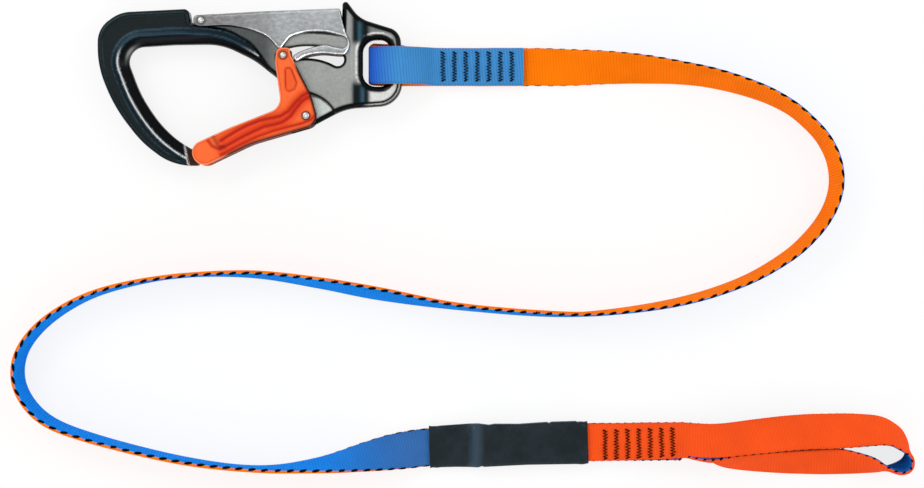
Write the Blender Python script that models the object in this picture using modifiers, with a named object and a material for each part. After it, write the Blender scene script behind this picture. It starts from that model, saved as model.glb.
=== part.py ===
"""Safety tether: a double-action hook sewn into one end of a two-colour webbing strap.

The hook lies flat on the surface z = 0, its body in the X-Y plane, with the origin under the middle
of the hook. The strap leaves the hook's eye along +X, stands on its edge round two wide bends and
ends in a hand loop behind a shrink sleeve. All sizes below are in millimetres.
"""
import math

import bmesh
import bpy
from mathutils import Matrix, Vector

MM = 0.001

# Clearances
GAP = 0.3
PIN_CLEARANCE = 0.5

# Hook overall
HOOK_LENGTH = 141.0
BOW_HALF = 5.5
PLATE_HALF = 4.0
RING_HALF = 4.6
HUB_HALF = 2.2
EDGE_ROUND = 1.3
BODY_TOP = 34.6
NOSE_X = -23.5
NOSE_BOTTOM = -38.0
NOSE_DEPTH = 5.5
NOSE_HALF = 4.7
PEAK_HEIGHT = 38.3

# Sheet parts
LEVER_SHEET = 1.5
GATE_SHEET = 1.5
HEAD_DOME = 0.7
LEVER_INNER = PLATE_HALF + GAP
LEVER_OUTER = LEVER_INNER + LEVER_SHEET
GATE_INNER = LEVER_OUTER + GAP
GATE_OUTER = GATE_INNER + GATE_SHEET
HEAD_OUTER = GATE_OUTER + GAP + HEAD_DOME
HOOK_MID = HEAD_OUTER

# Pivots and travel
GATE_PIVOT = Vector((26.3, -15.1))
LEVER_PIVOT = Vector((-22.4, 29.1))
FOLLOWER_RADIUS = 29.9
FOLLOWER_REST = -20.7
GATE_TRAVEL = 48.0
LEVER_TRAVEL = 8.0
SLOT_SPARE = 1.5

# Pins, bush, roller and springs
GATE_RIVET_R = 1.3
LEVER_RIVET_R = 1.2
FOLLOWER_PIN_R = 1.1
RIVET_HEAD = 0.4
BUSH_WALL = 0.9
ROLLER_R = 2.7
HUB_POCKET_R = 18.1
GATE_WIRE = 0.7
GATE_WIRE_PITCH = 1.15
GATE_COIL_TURNS = 2.25
LEVER_WIRE = 0.6
LEVER_WIRE_PITCH = 1.15
LEVER_COIL_TURNS = 6
LEVER_COIL_R = 1.9
LEVER_SPRING_X = 10.0
LEVER_SPRING_TOP = 26.9

# Eye for the strap
EYE_LEFT = 51.9
BAR_WIDTH = 5.6
EYE_HEIGHT = 23.6
EYE_Y = 9.6

# Webbing
STRAP_WIDTH = 17.5
STRAP_THICK = 2.4
STRAP_Y = 8.4
BAR_LOOP_R = 5.4
EYE_FOLD_X = 54.9
EYE_END_X = 127.7
TACK_COUNT = 7
TACK_LENGTH = 12.6
TACK_WIDTH = 1.0
TACK_RECESS = 0.1
TACK_ABOVE = 0.8
EYE_TACK_X = 89.5
EYE_TACK_PITCH = 5.36
LOOP_TACK_START = 8.1
LOOP_TACK_PITCH = 5.2
STACK_START = 6.0
STACK_LENGTH = 36.0
STACK_STEPS = 5
STACK_TILT = 22.0
STACK_SPREAD = 0.6

# Shrink sleeve over the folded-back end
SLEEVE_START = Vector((83.2, -169.3))
SLEEVE_END = Vector((157.1, -167.0))
SLEEVE_WALL = 0.8
SLEEVE_STEP = 22.0
SLEEVE_OVERLAP_STEP = 4.0
SPLIT_IN_SLEEVE = 16.0
TAIL_IN_SLEEVE = 23.0

COLLECTION = "safety_tether"


def clear_scene():
    """Remove every object that the start-up file holds."""
    for item in list(bpy.data.objects):
        bpy.data.objects.remove(item, do_unlink=True)


def make_collections():
    """Return the part's collection and the one for its cutters."""
    made = []
    for name in (COLLECTION, COLLECTION + "_cutters"):
        group = bpy.data.collections.new(name)
        bpy.context.scene.collection.children.link(group)
        made.append(group)
    return made


clear_scene()
PARTS, CUTTERS = make_collections()


def material(name, color, roughness, metallic):
    """Plain Principled finish."""
    made = bpy.data.materials.new(name)
    made.use_nodes = True
    shader = made.node_tree.nodes["Principled BSDF"]
    shader.inputs["Base Color"].default_value = (*color, 1.0)
    shader.inputs["Roughness"].default_value = roughness
    shader.inputs["Metallic"].default_value = metallic
    return made


BLACK_ALLOY = material("black_anodised_alloy", (0.015, 0.018, 0.022), 0.32, 0.6)
SATIN_STEEL = material("satin_steel", (0.55, 0.56, 0.57), 0.35, 1.0)
GATE_ORANGE = material("orange_anodised_sheet", (0.9, 0.13, 0.02), 0.4, 0.3)
RIVET_STEEL = material("rivet_steel", (0.6, 0.6, 0.6), 0.25, 1.0)
SPRING_STEEL = material("spring_steel", (0.4, 0.4, 0.42), 0.3, 1.0)
BRONZE = material("bush_bronze", (0.5, 0.35, 0.15), 0.4, 1.0)
WEB_ORANGE = material("orange_webbing", (1.0, 0.2, 0.01), 0.8, 0.0)
THREAD = material("dark_thread", (0.02, 0.02, 0.05), 0.7, 0.0)
SLEEVE_BLACK = material("black_shrink_sleeve", (0.02, 0.02, 0.025), 0.45, 0.0)


def place(obj, mat=None, cutter=False):
    """Link an object as a part or as a cutter."""
    (CUTTERS if cutter else PARTS).objects.link(obj)
    if cutter:
        obj.hide_render = True
        obj.display_type = "WIRE"
    if mat:
        obj.data.materials.append(mat)
    return obj


def mesh_object(name, bm, mat=None, cutter=False):
    """Object from a bmesh whose coordinates are in millimetres."""
    bmesh.ops.recalc_face_normals(bm, faces=bm.faces)
    for vert in bm.verts:
        vert.co *= MM
    mesh = bpy.data.meshes.new(name)
    bm.to_mesh(mesh)
    bm.free()
    return place(bpy.data.objects.new(name, mesh), mat, cutter)


def curve_to_mesh(curve_object, name, mat=None, cutter=False):
    """Mesh object with the shape of a curve, its caps welded."""
    bpy.context.view_layer.update()
    graph = bpy.context.evaluated_depsgraph_get()
    mesh = bpy.data.meshes.new_from_object(curve_object.evaluated_get(graph))
    bm = bmesh.new()
    bm.from_mesh(mesh)
    bmesh.ops.remove_doubles(bm, verts=bm.verts, dist=0.00001)
    bmesh.ops.recalc_face_normals(bm, faces=bm.faces)
    bm.to_mesh(mesh)
    bm.free()
    mesh.name = name
    made = bpy.data.objects.new(name, mesh)
    made.matrix_world = curve_object.matrix_world.copy()
    bpy.data.objects.remove(curve_object, do_unlink=True)
    mesh.materials.clear()
    return place(made, mat, cutter)


def rounded(corners, step=math.radians(15)):
    """Outline of corners (x, y, radius), each radius limited by the sides it joins."""
    outline = []
    count = len(corners)
    for i, (x, y, radius) in enumerate(corners):
        corner = Vector((x, y))
        before = Vector(corners[i - 1][:2]) - corner
        after = Vector(corners[(i + 1) % count][:2]) - corner
        turn = math.pi - before.angle(after)
        if radius <= 0.0 or turn < 0.02:
            outline.append(corner)
            continue
        reach = min(radius * math.tan(turn / 2), 0.49 * before.length, 0.49 * after.length)
        radius = reach / math.tan(turn / 2)
        inward = (before.normalized() + after.normalized()).normalized()
        centre = corner + inward * math.hypot(radius, reach)
        start = corner + before.normalized() * reach - centre
        spin = -math.copysign(turn, before.cross(after))
        pieces = max(1, math.ceil(turn / step))
        for k in range(pieces + 1):
            swing = spin * k / pieces
            c, s = math.cos(swing), math.sin(swing)
            outline.append(centre + Vector((start.x * c - start.y * s, start.x * s + start.y * c)))
    return outline


def arc(centre, radius, start, end, pieces):
    """Points on an arc, its angles in degrees clockwise from +Y."""
    made = []
    for k in range(pieces + 1):
        angle = math.radians(start + (end - start) * k / pieces)
        made.append(Vector((centre.x + radius * math.sin(angle), centre.y + radius * math.cos(angle))))
    return made


def plate(name, outlines, low, high, mat=None, cutter=False, edge=0.0):
    """Flat outline between two heights, its edges rounded by edge."""
    curve = bpy.data.curves.new(name, "CURVE")
    curve.dimensions = "2D"
    curve.fill_mode = "BOTH"
    curve.extrude = ((high - low) / 2 - edge) * MM
    curve.bevel_depth = edge * MM
    curve.bevel_resolution = 1
    curve.offset = -edge * MM
    for outline in outlines:
        spline = curve.splines.new("POLY")
        spline.points.add(len(outline) - 1)
        for point, spot in zip(spline.points, outline):
            point.co = (spot.x * MM, spot.y * MM, 0.0, 1.0)
        spline.use_cyclic_u = True
    source = bpy.data.objects.new(name + "_outline", curve)
    PARTS.objects.link(source)
    source.location.z = (low + high) / 2 * MM
    return curve_to_mesh(source, name, mat, cutter)


def subtract(target, cutter):
    """Cut one object out of another."""
    cut = target.modifiers.new("cut_" + cutter.name, "BOOLEAN")
    cut.operation = "DIFFERENCE"
    cut.object = cutter


def round_cutter(name, centre, radius, low, high, sides=20):
    """Upright round cutter."""
    bm = bmesh.new()
    bmesh.ops.create_cone(
        bm, cap_ends=True, segments=sides, radius1=radius, radius2=radius, depth=high - low
    )
    bmesh.ops.translate(bm, verts=bm.verts, vec=(centre.x, centre.y, (low + high) / 2))
    return mesh_object(name, bm, cutter=True)


def turned(name, centre, profile, mat, closed=False, steps=20):
    """Turned piece on an upright axis; the profile (radius, height) runs down its outer side."""
    mesh = bpy.data.meshes.new(name)
    verts = [(radius * MM, 0.0, height * MM) for radius, height in profile]
    edges = [(i, i + 1) for i in range(len(profile) - 1)]
    if closed:
        edges.append((len(profile) - 1, 0))
    mesh.from_pydata(verts, edges, [])
    made = place(bpy.data.objects.new(name, mesh), mat)
    made.location = (centre.x * MM, centre.y * MM, HOOK_MID * MM)
    screw = made.modifiers.new("turn", "SCREW")
    screw.steps = steps
    screw.render_steps = steps
    screw.use_merge_vertices = True
    screw.merge_threshold = 0.00001
    screw.use_smooth_shade = True
    return made


def rivet(name, centre, shaft, seat):
    """Rivet with a domed head at each end, whose heads sit outside the height seat."""
    head = shaft + RIVET_HEAD
    base = seat + GAP
    top = base + HEAD_DOME
    upper = [(0.0, top), (head * 0.6, top - HEAD_DOME * 0.15), (head, top - HEAD_DOME * 0.6), (head, base)]
    half = upper + [(shaft, base)]
    lower = [(radius, -height) for radius, height in reversed(half)]
    return turned(name, centre, half + lower, RIVET_STEEL)


def sleeve(name, centre, inner, outer, low, high, mat):
    """Plain ring between two heights from the hook's middle."""
    profile = [(inner, high), (outer, high), (outer, low), (inner, low)]
    return turned(name, centre, profile, mat, closed=True)


def smooth_route(route, count):
    """Evenly many points of a Catmull-Rom curve through the route's tuples."""
    made = []
    last = len(route) - 1
    for k in range(count):
        place_on = last * k / (count - 1)
        i = min(int(place_on), last - 1)
        t = place_on - i
        a, b, c, d = (route[min(max(j, 0), last)] for j in (i - 1, i, i + 1, i + 2))
        made.append(
            tuple(
                0.5 * (2 * q + (r - p) * t + (2 * p - 5 * q + 4 * r - s) * t**2 + (3 * q - p - 3 * r + s) * t**3)
                for p, q, r, s in zip(a, b, c, d)
            )
        )
    return made


def body_outline():
    """Outer edge of the hook body, from the nose round the bow, the ring and the hub and back."""
    half = HOOK_LENGTH / 2
    gx, gy = GATE_PIVOT
    lx, ly = LEVER_PIVOT
    nose_top = NOSE_BOTTOM + NOSE_DEPTH
    return rounded(
        [
            (NOSE_X, NOSE_BOTTOM, 1.5),
            (NOSE_X - 8.2, NOSE_BOTTOM, 25.0),
            (NOSE_X - 16.0, NOSE_BOTTOM + 2.7, 35.0),
            (20.5 - half, -27.4, 60.0),
            (7.7 - half, -11.0, 75.0),
            (-half, 8.2, 45.0),
            (-half, 25.5, 16.0),
            (10.3 - half, BODY_TOP - 1.6, 16.0),
            (lx - 6.0, BODY_TOP, 2.5),
            (lx - 4.8, ly - 0.8, 0.8),
            (lx - 2.8, ly - 1.0, 0.8),
            (lx - 2.6, ly + 2.6, 1.6),
            (lx + 2.2, ly + 2.6, 1.6),
            (lx + 5.4, ly - 0.3, 2.5),
            (lx + 64.9, ly - 5.7, 1.5),
            (lx + 65.4, PEAK_HEIGHT + 2.6, 1.5),
            (51.0, 30.2, 14.0),
            (half - 0.8, 24.4, 7.0),
            (half, 12.0, 0.0),
            (half, -9.8, 11.0),
            (gx + 18.0, gy + 3.5, 25.0),
            (gx - 1.6, gy - 6.9, 5.5),
            (gx - 7.0, gy + 2.5, 6.0),
            (gx - 7.6, gy + 12.8, 8.0),
            (2.0, 10.9, 35.0),
            (-13.5, 18.4, 30.0),
            (-35.0, 18.1, 60.0),
            (11.4 - half, 16.6, 7.0),
            (19.7 - half, -5.7, 70.0),
            (28.2 - half, -18.2, 50.0),
            (NOSE_X - 10.8, nose_top + 6.4, 50.0),
            (NOSE_X, nose_top, 1.5),
        ],
        step=math.radians(8),
    )


def eye_outline():
    """Hole in the ring that the strap passes through."""
    right = HOOK_LENGTH / 2 - BAR_WIDTH
    low, high = EYE_Y - EYE_HEIGHT / 2, EYE_Y + EYE_HEIGHT / 2
    return rounded([(EYE_LEFT, low, 6.0), (EYE_LEFT, high, 6.0), (right, high, 3.5), (right, low, 3.5)])


THICKNESS_STEPS = [(10.0, BOW_HALF), (15.0, PLATE_HALF), (46.5, PLATE_HALF), (51.0, RING_HALF)]


def half_thickness(x):
    """Half the forging's thickness at x, with straight slopes between its flats."""
    x = min(max(x, THICKNESS_STEPS[0][0]), THICKNESS_STEPS[-1][0])
    for (x0, h0), (x1, h1) in zip(THICKNESS_STEPS, THICKNESS_STEPS[1:]):
        if x <= x1:
            return h0 + (h1 - h0) * (x - x0) / (x1 - x0)
    return THICKNESS_STEPS[-1][1]


def step_thickness(obj):
    """Thin the plate and ring areas of the forging about its middle plane."""
    bm = bmesh.new()
    bm.from_mesh(obj.data)
    for x, _ in THICKNESS_STEPS:
        whole = list(bm.verts) + list(bm.edges) + list(bm.faces)
        bmesh.ops.bisect_plane(bm, geom=whole, dist=1e-7, plane_co=(x * MM, 0, 0), plane_no=(1, 0, 0))
    for vert in bm.verts:
        vert.co.z *= half_thickness(vert.co.x / MM) / BOW_HALF
    bm.to_mesh(obj.data)
    bm.free()


def both_faces(name, target, outline, depth_half):
    """Recess both faces of the body to depth_half from its middle."""
    for side, low, high in (("top", depth_half, 12.0), ("bottom", -12.0, -depth_half)):
        cutter = plate(f"{name}_{side}", [outline], HOOK_MID + low, HOOK_MID + high, cutter=True)
        subtract(target, cutter)


def follower_slot():
    """Arc slot in the body for the follower's roller."""
    wide = ROLLER_R + GAP
    spare = math.degrees(GAP / FOLLOWER_RADIUS)
    start = FOLLOWER_REST - spare
    end = FOLLOWER_REST + GATE_TRAVEL + SLOT_SPARE
    first = arc(GATE_PIVOT, FOLLOWER_RADIUS, start, end, 1)
    outline = arc(GATE_PIVOT, FOLLOWER_RADIUS + wide, start, end, 10)
    outline += arc(first[1], wide, end, end + 180, 8)[1:-1]
    outline += arc(GATE_PIVOT, FOLLOWER_RADIUS - wide, end, start, 10)
    outline += arc(first[0], wide, start + 180, start + 360, 8)[1:-1]
    return outline


def bow_channel():
    """Long recess on the face of the bow, between its two rims."""
    half = HOOK_LENGTH / 2
    return rounded(
        [
            (-31.5, BODY_TOP - 3.0, 1.5),
            (11.1 - half, BODY_TOP - 4.3, 13.0),
            (2.7 - half, 24.0, 13.0),
            (2.7 - half, 8.7, 42.0),
            (10.2 - half, -9.9, 70.0),
            (22.6 - half, -25.7, 55.0),
            (29.0 - half, -31.0, 1.0),
            (29.5 - half, -29.6, 1.0),
            (22.8 - half, -23.0, 50.0),
            (13.0 - half, -8.9, 70.0),
            (4.8 - half, 13.3, 14.0),
            (15.5 - half, 24.0, 14.0),
            (-31.5, 25.4, 1.5),
        ]
    )


def build_body():
    """Forged hook body with its recesses, slot, eye and rivet holes."""
    body = plate(
        "hook_body",
        [body_outline(), eye_outline()],
        -BOW_HALF,
        BOW_HALF,
        mat=BLACK_ALLOY,
        edge=EDGE_ROUND,
    )
    step_thickness(body)
    body.location.z = HOOK_MID * MM
    lx, ly = LEVER_PIVOT
    lever_recess = rounded(
        [
            (lx - 4.9, 50.0, 0.0),
            (lx - 4.9, ly - 2.6, 3.0),
            (-10.5, 24.0, 12.0),
            (0.5, 18.0, 15.0),
            (6.5, 9.5, 15.0),
            (13.0, 0.0, 0.0),
            (20.0, 0.0, 0.0),
            (20.0, 50.0, 0.0),
        ]
    )
    both_faces("lever_recess", body, lever_recess, PLATE_HALF)
    hub_centre = GATE_PIVOT + Vector((-2.0, -6.4))
    both_faces("hub_recess", body, arc(hub_centre, HUB_POCKET_R, 0, 350, 35), HUB_HALF)
    nose = Vector((NOSE_X, NOSE_BOTTOM))
    nose_recess = [nose + Vector(p) for p in ((-7.1, 10.5), (-4.2, -2.0), (3.5, -3.0), (3.5, 12.0))]
    both_faces("nose_recess", body, nose_recess, NOSE_HALF)
    both_faces("bow_channel", body, bow_channel(), BOW_HALF - 0.9)
    low, high = HOOK_MID - 12.0, HOOK_MID + 12.0
    subtract(body, plate("follower_slot_cutter", [follower_slot()], low, high, cutter=True))
    bush_outer = GATE_RIVET_R + GAP + BUSH_WALL
    subtract(body, round_cutter("hub_bore", GATE_PIVOT, bush_outer + GAP, low, high))
    subtract(body, round_cutter("lever_bore", LEVER_PIVOT, LEVER_RIVET_R + GAP, low, high))
    subtract(body, lever_spring_bore())
    return body


def lever_spring_bore():
    """Blind bore along Y in the body's top edge for the lever's return spring."""
    radius = LEVER_COIL_R + LEVER_WIRE / 2 + GAP
    depth = LEVER_COIL_TURNS * LEVER_WIRE_PITCH + LEVER_WIRE + 2 * GAP
    bottom = LEVER_SPRING_TOP - depth
    bm = bmesh.new()
    bmesh.ops.create_cone(bm, cap_ends=True, segments=20, radius1=radius, radius2=radius, depth=20.0)
    cutter = mesh_object("lever_spring_bore", bm, cutter=True)
    cutter.rotation_euler.x = math.radians(-90)
    cutter.location = (LEVER_SPRING_X * MM, (bottom + 10.0) * MM, HOOK_MID * MM)
    return cutter


def follower_place(swing):
    """Place of the follower pin when the gate has swung by so many degrees."""
    return arc(GATE_PIVOT, FOLLOWER_RADIUS, FOLLOWER_REST + swing, 0, 1)[0]


def follower_in_lever(swing):
    """Place of the follower pin in the lever's own frame at that swing."""
    turn = math.radians(swing * LEVER_TRAVEL / GATE_TRAVEL)
    arm = follower_place(swing) - LEVER_PIVOT
    c, s = math.cos(turn), math.sin(turn)
    return LEVER_PIVOT + Vector((arm.x * c - arm.y * s, arm.x * s + arm.y * c))


def lever_slot_floor():
    """Lower edge of the lever's slot: the follower's path, lowered by its radius and clearance."""
    room = FOLLOWER_PIN_R + PIN_CLEARANCE
    made = []
    pieces = 8
    for k in range(2, pieces - 1):
        swing = GATE_TRAVEL * k / pieces
        here = follower_in_lever(swing)
        along = (follower_in_lever(swing + 0.5) - here).normalized()
        made.append((here.x + along.y * room, here.y - along.x * room, 12.0))
    return made


def lever_outline():
    """Cheek of the palm lever, with the slot that the follower pin enters from the left."""
    lx, ly = LEVER_PIVOT
    pin = follower_in_lever(0.0)
    end = follower_in_lever(GATE_TRAVEL)
    room = FOLLOWER_PIN_R + PIN_CLEARANCE
    corners = [
        (lx - 3.5, ly + 2.4, 1.8),
        (lx + 27.8, ly + 4.3, 60.0),
        (end.x - 0.2, ly + 5.7, 0.8),
        (end.x + 1.8, end.y + 5.7, 20.0),
        (end.x + 5.4, end.y - 2.7, 4.5),
        (end.x + 2.8, end.y - 7.3, 2.5),
        (end.x - 1.6, end.y - 7.2, 10.0),
        (end.x - 8.4, end.y - 6.5, 20.0),
        (pin.x + 10.6, pin.y - 0.1, 12.0),
        (pin.x + 5.5, pin.y - 3.4, 1.0),
        (pin.x + 4.3, pin.y - 0.2, 1.0),
    ]
    corners += lever_slot_floor()
    corners += [
        (end.x - 3.4, end.y - 3.2, 20.0),
        (end.x + room + 1.6, end.y - 4.3, 2.4),
        (end.x + room + 1.7, end.y + 0.9, 2.8),
        (end.x - 6.8, end.y + 3.6, 20.0),
        (pin.x + 10.8, pin.y + 10.9, 20.0),
        (pin.x + 3.3, pin.y + 8.6, 6.0),
        (pin.x - 0.9, pin.y + 3.0, 1.0),
        (pin.x - 2.7, pin.y + 3.3, 1.0),
        (pin.x - 7.5, pin.y + 8.8, 12.0),
        (lx + 22.6, ly - 4.1, 20.0),
        (lx + 13.5, ly - 2.1, 30.0),
        (lx - 0.5, ly - 2.7, 2.5),
        (lx - 3.6, ly - 1.8, 2.0),
    ]
    return rounded(corners)


def build_lever():
    """Palm lever: folded sheet with a cheek on each face of the body and a web along its back."""
    lever = plate("palm_lever", [lever_outline()], -LEVER_OUTER, LEVER_OUTER, mat=SATIN_STEEL)
    lever.location.z = HOOK_MID * MM
    lx, ly = LEVER_PIVOT
    web_start = lx + 6.0
    roof = [(web_start, ly + 2.9), (lx + 27.8, ly + 4.3), (lx + 90.0, ly + 6.7)]
    inside = [Vector((x, y - LEVER_SHEET)) for x, y in roof]
    inside += [Vector((lx + 90.0, ly - 40.0)), Vector((lx - 20.0, ly - 40.0))]
    inside += [Vector((lx - 20.0, ly + 20.0)), Vector((web_start, ly + 20.0))]
    low, high = HOOK_MID - LEVER_INNER, HOOK_MID + LEVER_INNER
    subtract(lever, plate("lever_inside", [inside], low, high, cutter=True))
    rivet_hole = LEVER_RIVET_R + GAP
    subtract(lever, round_cutter("lever_hole", LEVER_PIVOT, rivet_hole, low - 5.0, high + 5.0))
    return lever


GATE_LOW_LEFT = Vector((-49.6, -24.65))
GATE_LOW_MID = Vector((-25.0, -12.9))
GATE_LOW_RIGHT = Vector((6.2, -3.9))


def gate_outline():
    """Cheek of the gate: an arm from the hub to the nose and an arm up to the follower."""
    gx, gy = GATE_PIVOT
    pin = follower_place(0.0)
    return rounded(
        [
            (gx - 54.6, gy - 14.3, 5.9),
            (gx + GATE_LOW_LEFT.x, gy + GATE_LOW_LEFT.y, 5.9),
            (gx + GATE_LOW_MID.x, gy + GATE_LOW_MID.y, 40.0),
            (gx + GATE_LOW_RIGHT.x, gy + GATE_LOW_RIGHT.y, 5.5),
            (gx + 2.2, gy + 10.0, 25.0),
            (pin.x + 3.2, pin.y + 0.5, 6.0),
            (pin.x + 3.1, pin.y + 3.5, 2.6),
            (pin.x - 3.1, pin.y + 3.5, 2.8),
            (pin.x - 3.8, pin.y - 3.0, 10.0),
            (gx - 11.4, gy + 3.9, 6.5),
            (gx - 35.3, gy - 5.5, 40.0),
        ]
    )


def build_gate():
    """Gate: pressed sheet with two cheeks and a web along the outer side of its long arm."""
    gate = plate("gate", [gate_outline()], -GATE_OUTER, GATE_OUTER, mat=GATE_ORANGE)
    gate.location.z = HOOK_MID * MM
    web_left = GATE_PIVOT + GATE_LOW_LEFT
    web_mid = GATE_PIVOT + GATE_LOW_MID
    web_right = GATE_PIVOT + GATE_LOW_RIGHT
    rise = (web_mid - web_left).normalized()
    rise_right = (web_right - web_mid).normalized()
    lift = Vector((-rise.y, rise.x)) * GATE_SHEET
    lift_right = Vector((-rise_right.y, rise_right.x)) * GATE_SHEET
    web_end = GATE_PIVOT.x - 7.0
    start = web_left + rise * 4.6
    turn = web_mid + (lift + lift_right) / 2
    share = (web_end - web_mid.x) / (web_right.x - web_mid.x)
    stop = web_mid + (web_right - web_mid) * share + lift_right
    inside = [
        start + lift,
        turn,
        stop,
        stop - Vector((0.0, 30.0)),
        Vector((60.0, -60.0)),
        Vector((60.0, 60.0)),
        Vector((-60.0, 60.0)),
        Vector((-60.0, -60.0)),
        start - Vector((0.0, 20.0)),
    ]
    low, high = HOOK_MID - GATE_INNER, HOOK_MID + GATE_INNER
    subtract(gate, plate("gate_inside", [inside], low, high, cutter=True))
    for name, spot, radius in (
        ("gate_hole", GATE_PIVOT, GATE_RIVET_R + GAP),
        ("follower_hole", follower_place(0.0), FOLLOWER_PIN_R + GAP),
    ):
        subtract(gate, round_cutter(name, spot, radius, low - 5.0, high + 5.0))
    return gate


def wire_object(name, points, wire, mat):
    """Round wire through points in millimetres."""
    curve = bpy.data.curves.new(name, "CURVE")
    curve.dimensions = "3D"
    curve.bevel_depth = wire / 2 * MM
    curve.bevel_resolution = 1
    curve.use_fill_caps = True
    spline = curve.splines.new("POLY")
    spline.points.add(len(points) - 1)
    for point, spot in zip(spline.points, points):
        point.co = (spot[0] * MM, spot[1] * MM, spot[2] * MM, 1.0)
    return place(bpy.data.objects.new(name, curve), mat)


def build_springs():
    """Torsion spring round the gate's bush and compression spring under the lever."""
    coil_radius = GATE_RIVET_R + GAP + BUSH_WALL + GAP + GATE_WIRE / 2 + 0.8
    base = HUB_HALF + GAP + GATE_WIRE / 2
    count = int(GATE_COIL_TURNS * 10)
    points = []
    for k in range(count + 1):
        angle = math.radians(200 - 360 * GATE_COIL_TURNS * k / count)
        height = base + GATE_WIRE_PITCH * GATE_COIL_TURNS * k / count
        points.append(Vector((coil_radius * math.cos(angle), coil_radius * math.sin(angle), height)))
    leg_in = (points[0] - points[1]).normalized() * 2.2
    leg_out = (points[-1] - points[-2]).normalized() * 2.2
    leg_in.z = leg_out.z = 0.0
    points = [points[0] + leg_in] + points + [points[-1] + leg_out]
    torsion = wire_object("gate_spring", points, GATE_WIRE, SPRING_STEEL)
    torsion.location = (GATE_PIVOT.x * MM, GATE_PIVOT.y * MM, HOOK_MID * MM)
    points = []
    count = LEVER_COIL_TURNS * 9
    for k in range(count + 1):
        angle = 2 * math.pi * LEVER_COIL_TURNS * k / count
        down = LEVER_WIRE / 2 + LEVER_WIRE_PITCH * LEVER_COIL_TURNS * k / count
        points.append((LEVER_COIL_R * math.cos(angle), -down, LEVER_COIL_R * math.sin(angle)))
    coil = wire_object("lever_spring", points, LEVER_WIRE, SPRING_STEEL)
    coil.location = (LEVER_SPRING_X * MM, LEVER_SPRING_TOP * MM, HOOK_MID * MM)
    print("gate spring gap between turns, mm:", round(GATE_WIRE_PITCH - GATE_WIRE, 3))
    print("lever spring gap between turns, mm:", round(LEVER_WIRE_PITCH - LEVER_WIRE, 3))


def build_pins():
    """Rivets, bush, spacer and the follower with its roller."""
    follower = follower_place(0.0)
    rivet("lever_pivot_rivet", LEVER_PIVOT, LEVER_RIVET_R, LEVER_OUTER)
    rivet("gate_pivot_rivet", GATE_PIVOT, GATE_RIVET_R, GATE_OUTER)
    rivet("follower_pin", follower, FOLLOWER_PIN_R, GATE_OUTER)
    bush_inner = GATE_RIVET_R + GAP
    bush_outer = bush_inner + BUSH_WALL
    bush_end = GATE_INNER - GAP
    sleeve("gate_bush", GATE_PIVOT, bush_inner, bush_outer, -bush_end, bush_end, BRONZE)
    sleeve("gate_spacer", GATE_PIVOT, bush_outer + GAP, 4.3, -bush_end, -HUB_HALF - GAP, SATIN_STEEL)
    roller_end = PLATE_HALF - 0.1
    sleeve("follower_roller", follower, FOLLOWER_PIN_R + GAP, ROLLER_R, -roller_end, roller_end, BRONZE)


FLAT = STRAP_THICK / 2
STACK = STRAP_THICK + GAP
LYING = FLAT + 0.1

# The strap's middle line from the hook's eye to the sleeve: x, y and roll. The roll is the
# angle that the orange face has turned from facing up towards the right-hand side of the run.
RUN_ROUTE = [
    (EYE_END_X + 2 * GAP, STRAP_Y, 0),
    (135.0, 8.4, 5),
    (147.0, 8.0, 18),
    (165.5, 7.8, 34),
    (181.8, 7.1, 46),
    (200.8, 5.2, 60),
    (217.5, 2.3, 67),
    (236.5, -3.5, 73),
    (250.5, -10.4, 78),
    (260.2, -18.3, 80),
    (267.2, -26.5, 80),
    (271.6, -36.3, 80),
    (272.5, -47.4, 80),
    (269.1, -58.6, 80),
    (261.6, -69.5, 80),
    (249.5, -80.4, 81),
    (228.6, -92.1, 83),
    (199.8, -101.2, 85),
    (164.4, -106.4, 90),
    (137.5, -106.8, 92),
    (96.5, -103.6, 94),
    (60.3, -98.1, 101),
    (31.9, -93.1, 104),
    (1.2, -89.0, 98),
    (-31.8, -89.3, 95),
    (-58.8, -93.5, 99),
    (-79.2, -100.4, 101),
    (-96.9, -112.1, 102),
    (-106.9, -126.0, 102),
    (-107.1, -141.1, 102),
    (-96.4, -155.2, 102),
    (-75.3, -164.3, 102),
    (-33.2, -174.8, 102),
    (2.1, -179.0, 105),
    (30.5, -177.4, 115),
    (53.7, -173.6, 141),
    (70.0, -171.0, 165),
    (83.4, -169.4, 180),
]

# The end loop's middle line from the stitching round and back: x, y, height and roll.
LOOP_ROUTE = [
    (204.5, -167.4, 4.9, 156),
    (209.5, -169.9, 6.7, 139),
    (214.0, -172.3, 8.3, 117),
    (220.0, -174.6, 8.8, 97),
    (227.0, -175.5, 8.8, 80),
    (237.5, -175.6, 8.4, 63),
    (247.2, -175.8, 7.7, 52),
    (259.6, -175.7, 7.3, 47),
    (271.6, -175.5, 7.1, 44),
    (286.4, -176.9, 8.3, 62),
    (293.8, -178.7, 8.9, 80),
    (300.3, -179.4, 8.8, 98),
    (305.2, -177.9, 8.7, 106),
    (307.3, -173.9, 8.8, 98),
    (306.1, -169.6, 8.9, 84),
    (302.6, -165.6, 8.8, 68),
    (298.4, -163.0, 8.6, 56),
    (293.0, -161.2, 8.7, 46),
    (285.2, -160.9, 9.4, 37),
    (273.6, -161.1, 10.6, 28),
    (256.0, -161.6, 11.7, 25),
    (237.5, -162.5, 12.2, 25),
    (228.0, -163.2, 12.6, 27),
    (220.0, -163.8, 13.2, 28),
    (214.0, -164.1, 12.9, 28),
    (208.5, -164.3, 11.6, 26),
    (203.0, -164.5, 9.5, 24),
]


def edge_height(roll):
    """Height of the strap's middle line when its lower edge rests on the surface."""
    angle = math.radians(roll)
    return abs(math.sin(angle)) * STRAP_WIDTH / 2 + abs(math.cos(angle)) * LYING


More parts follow.
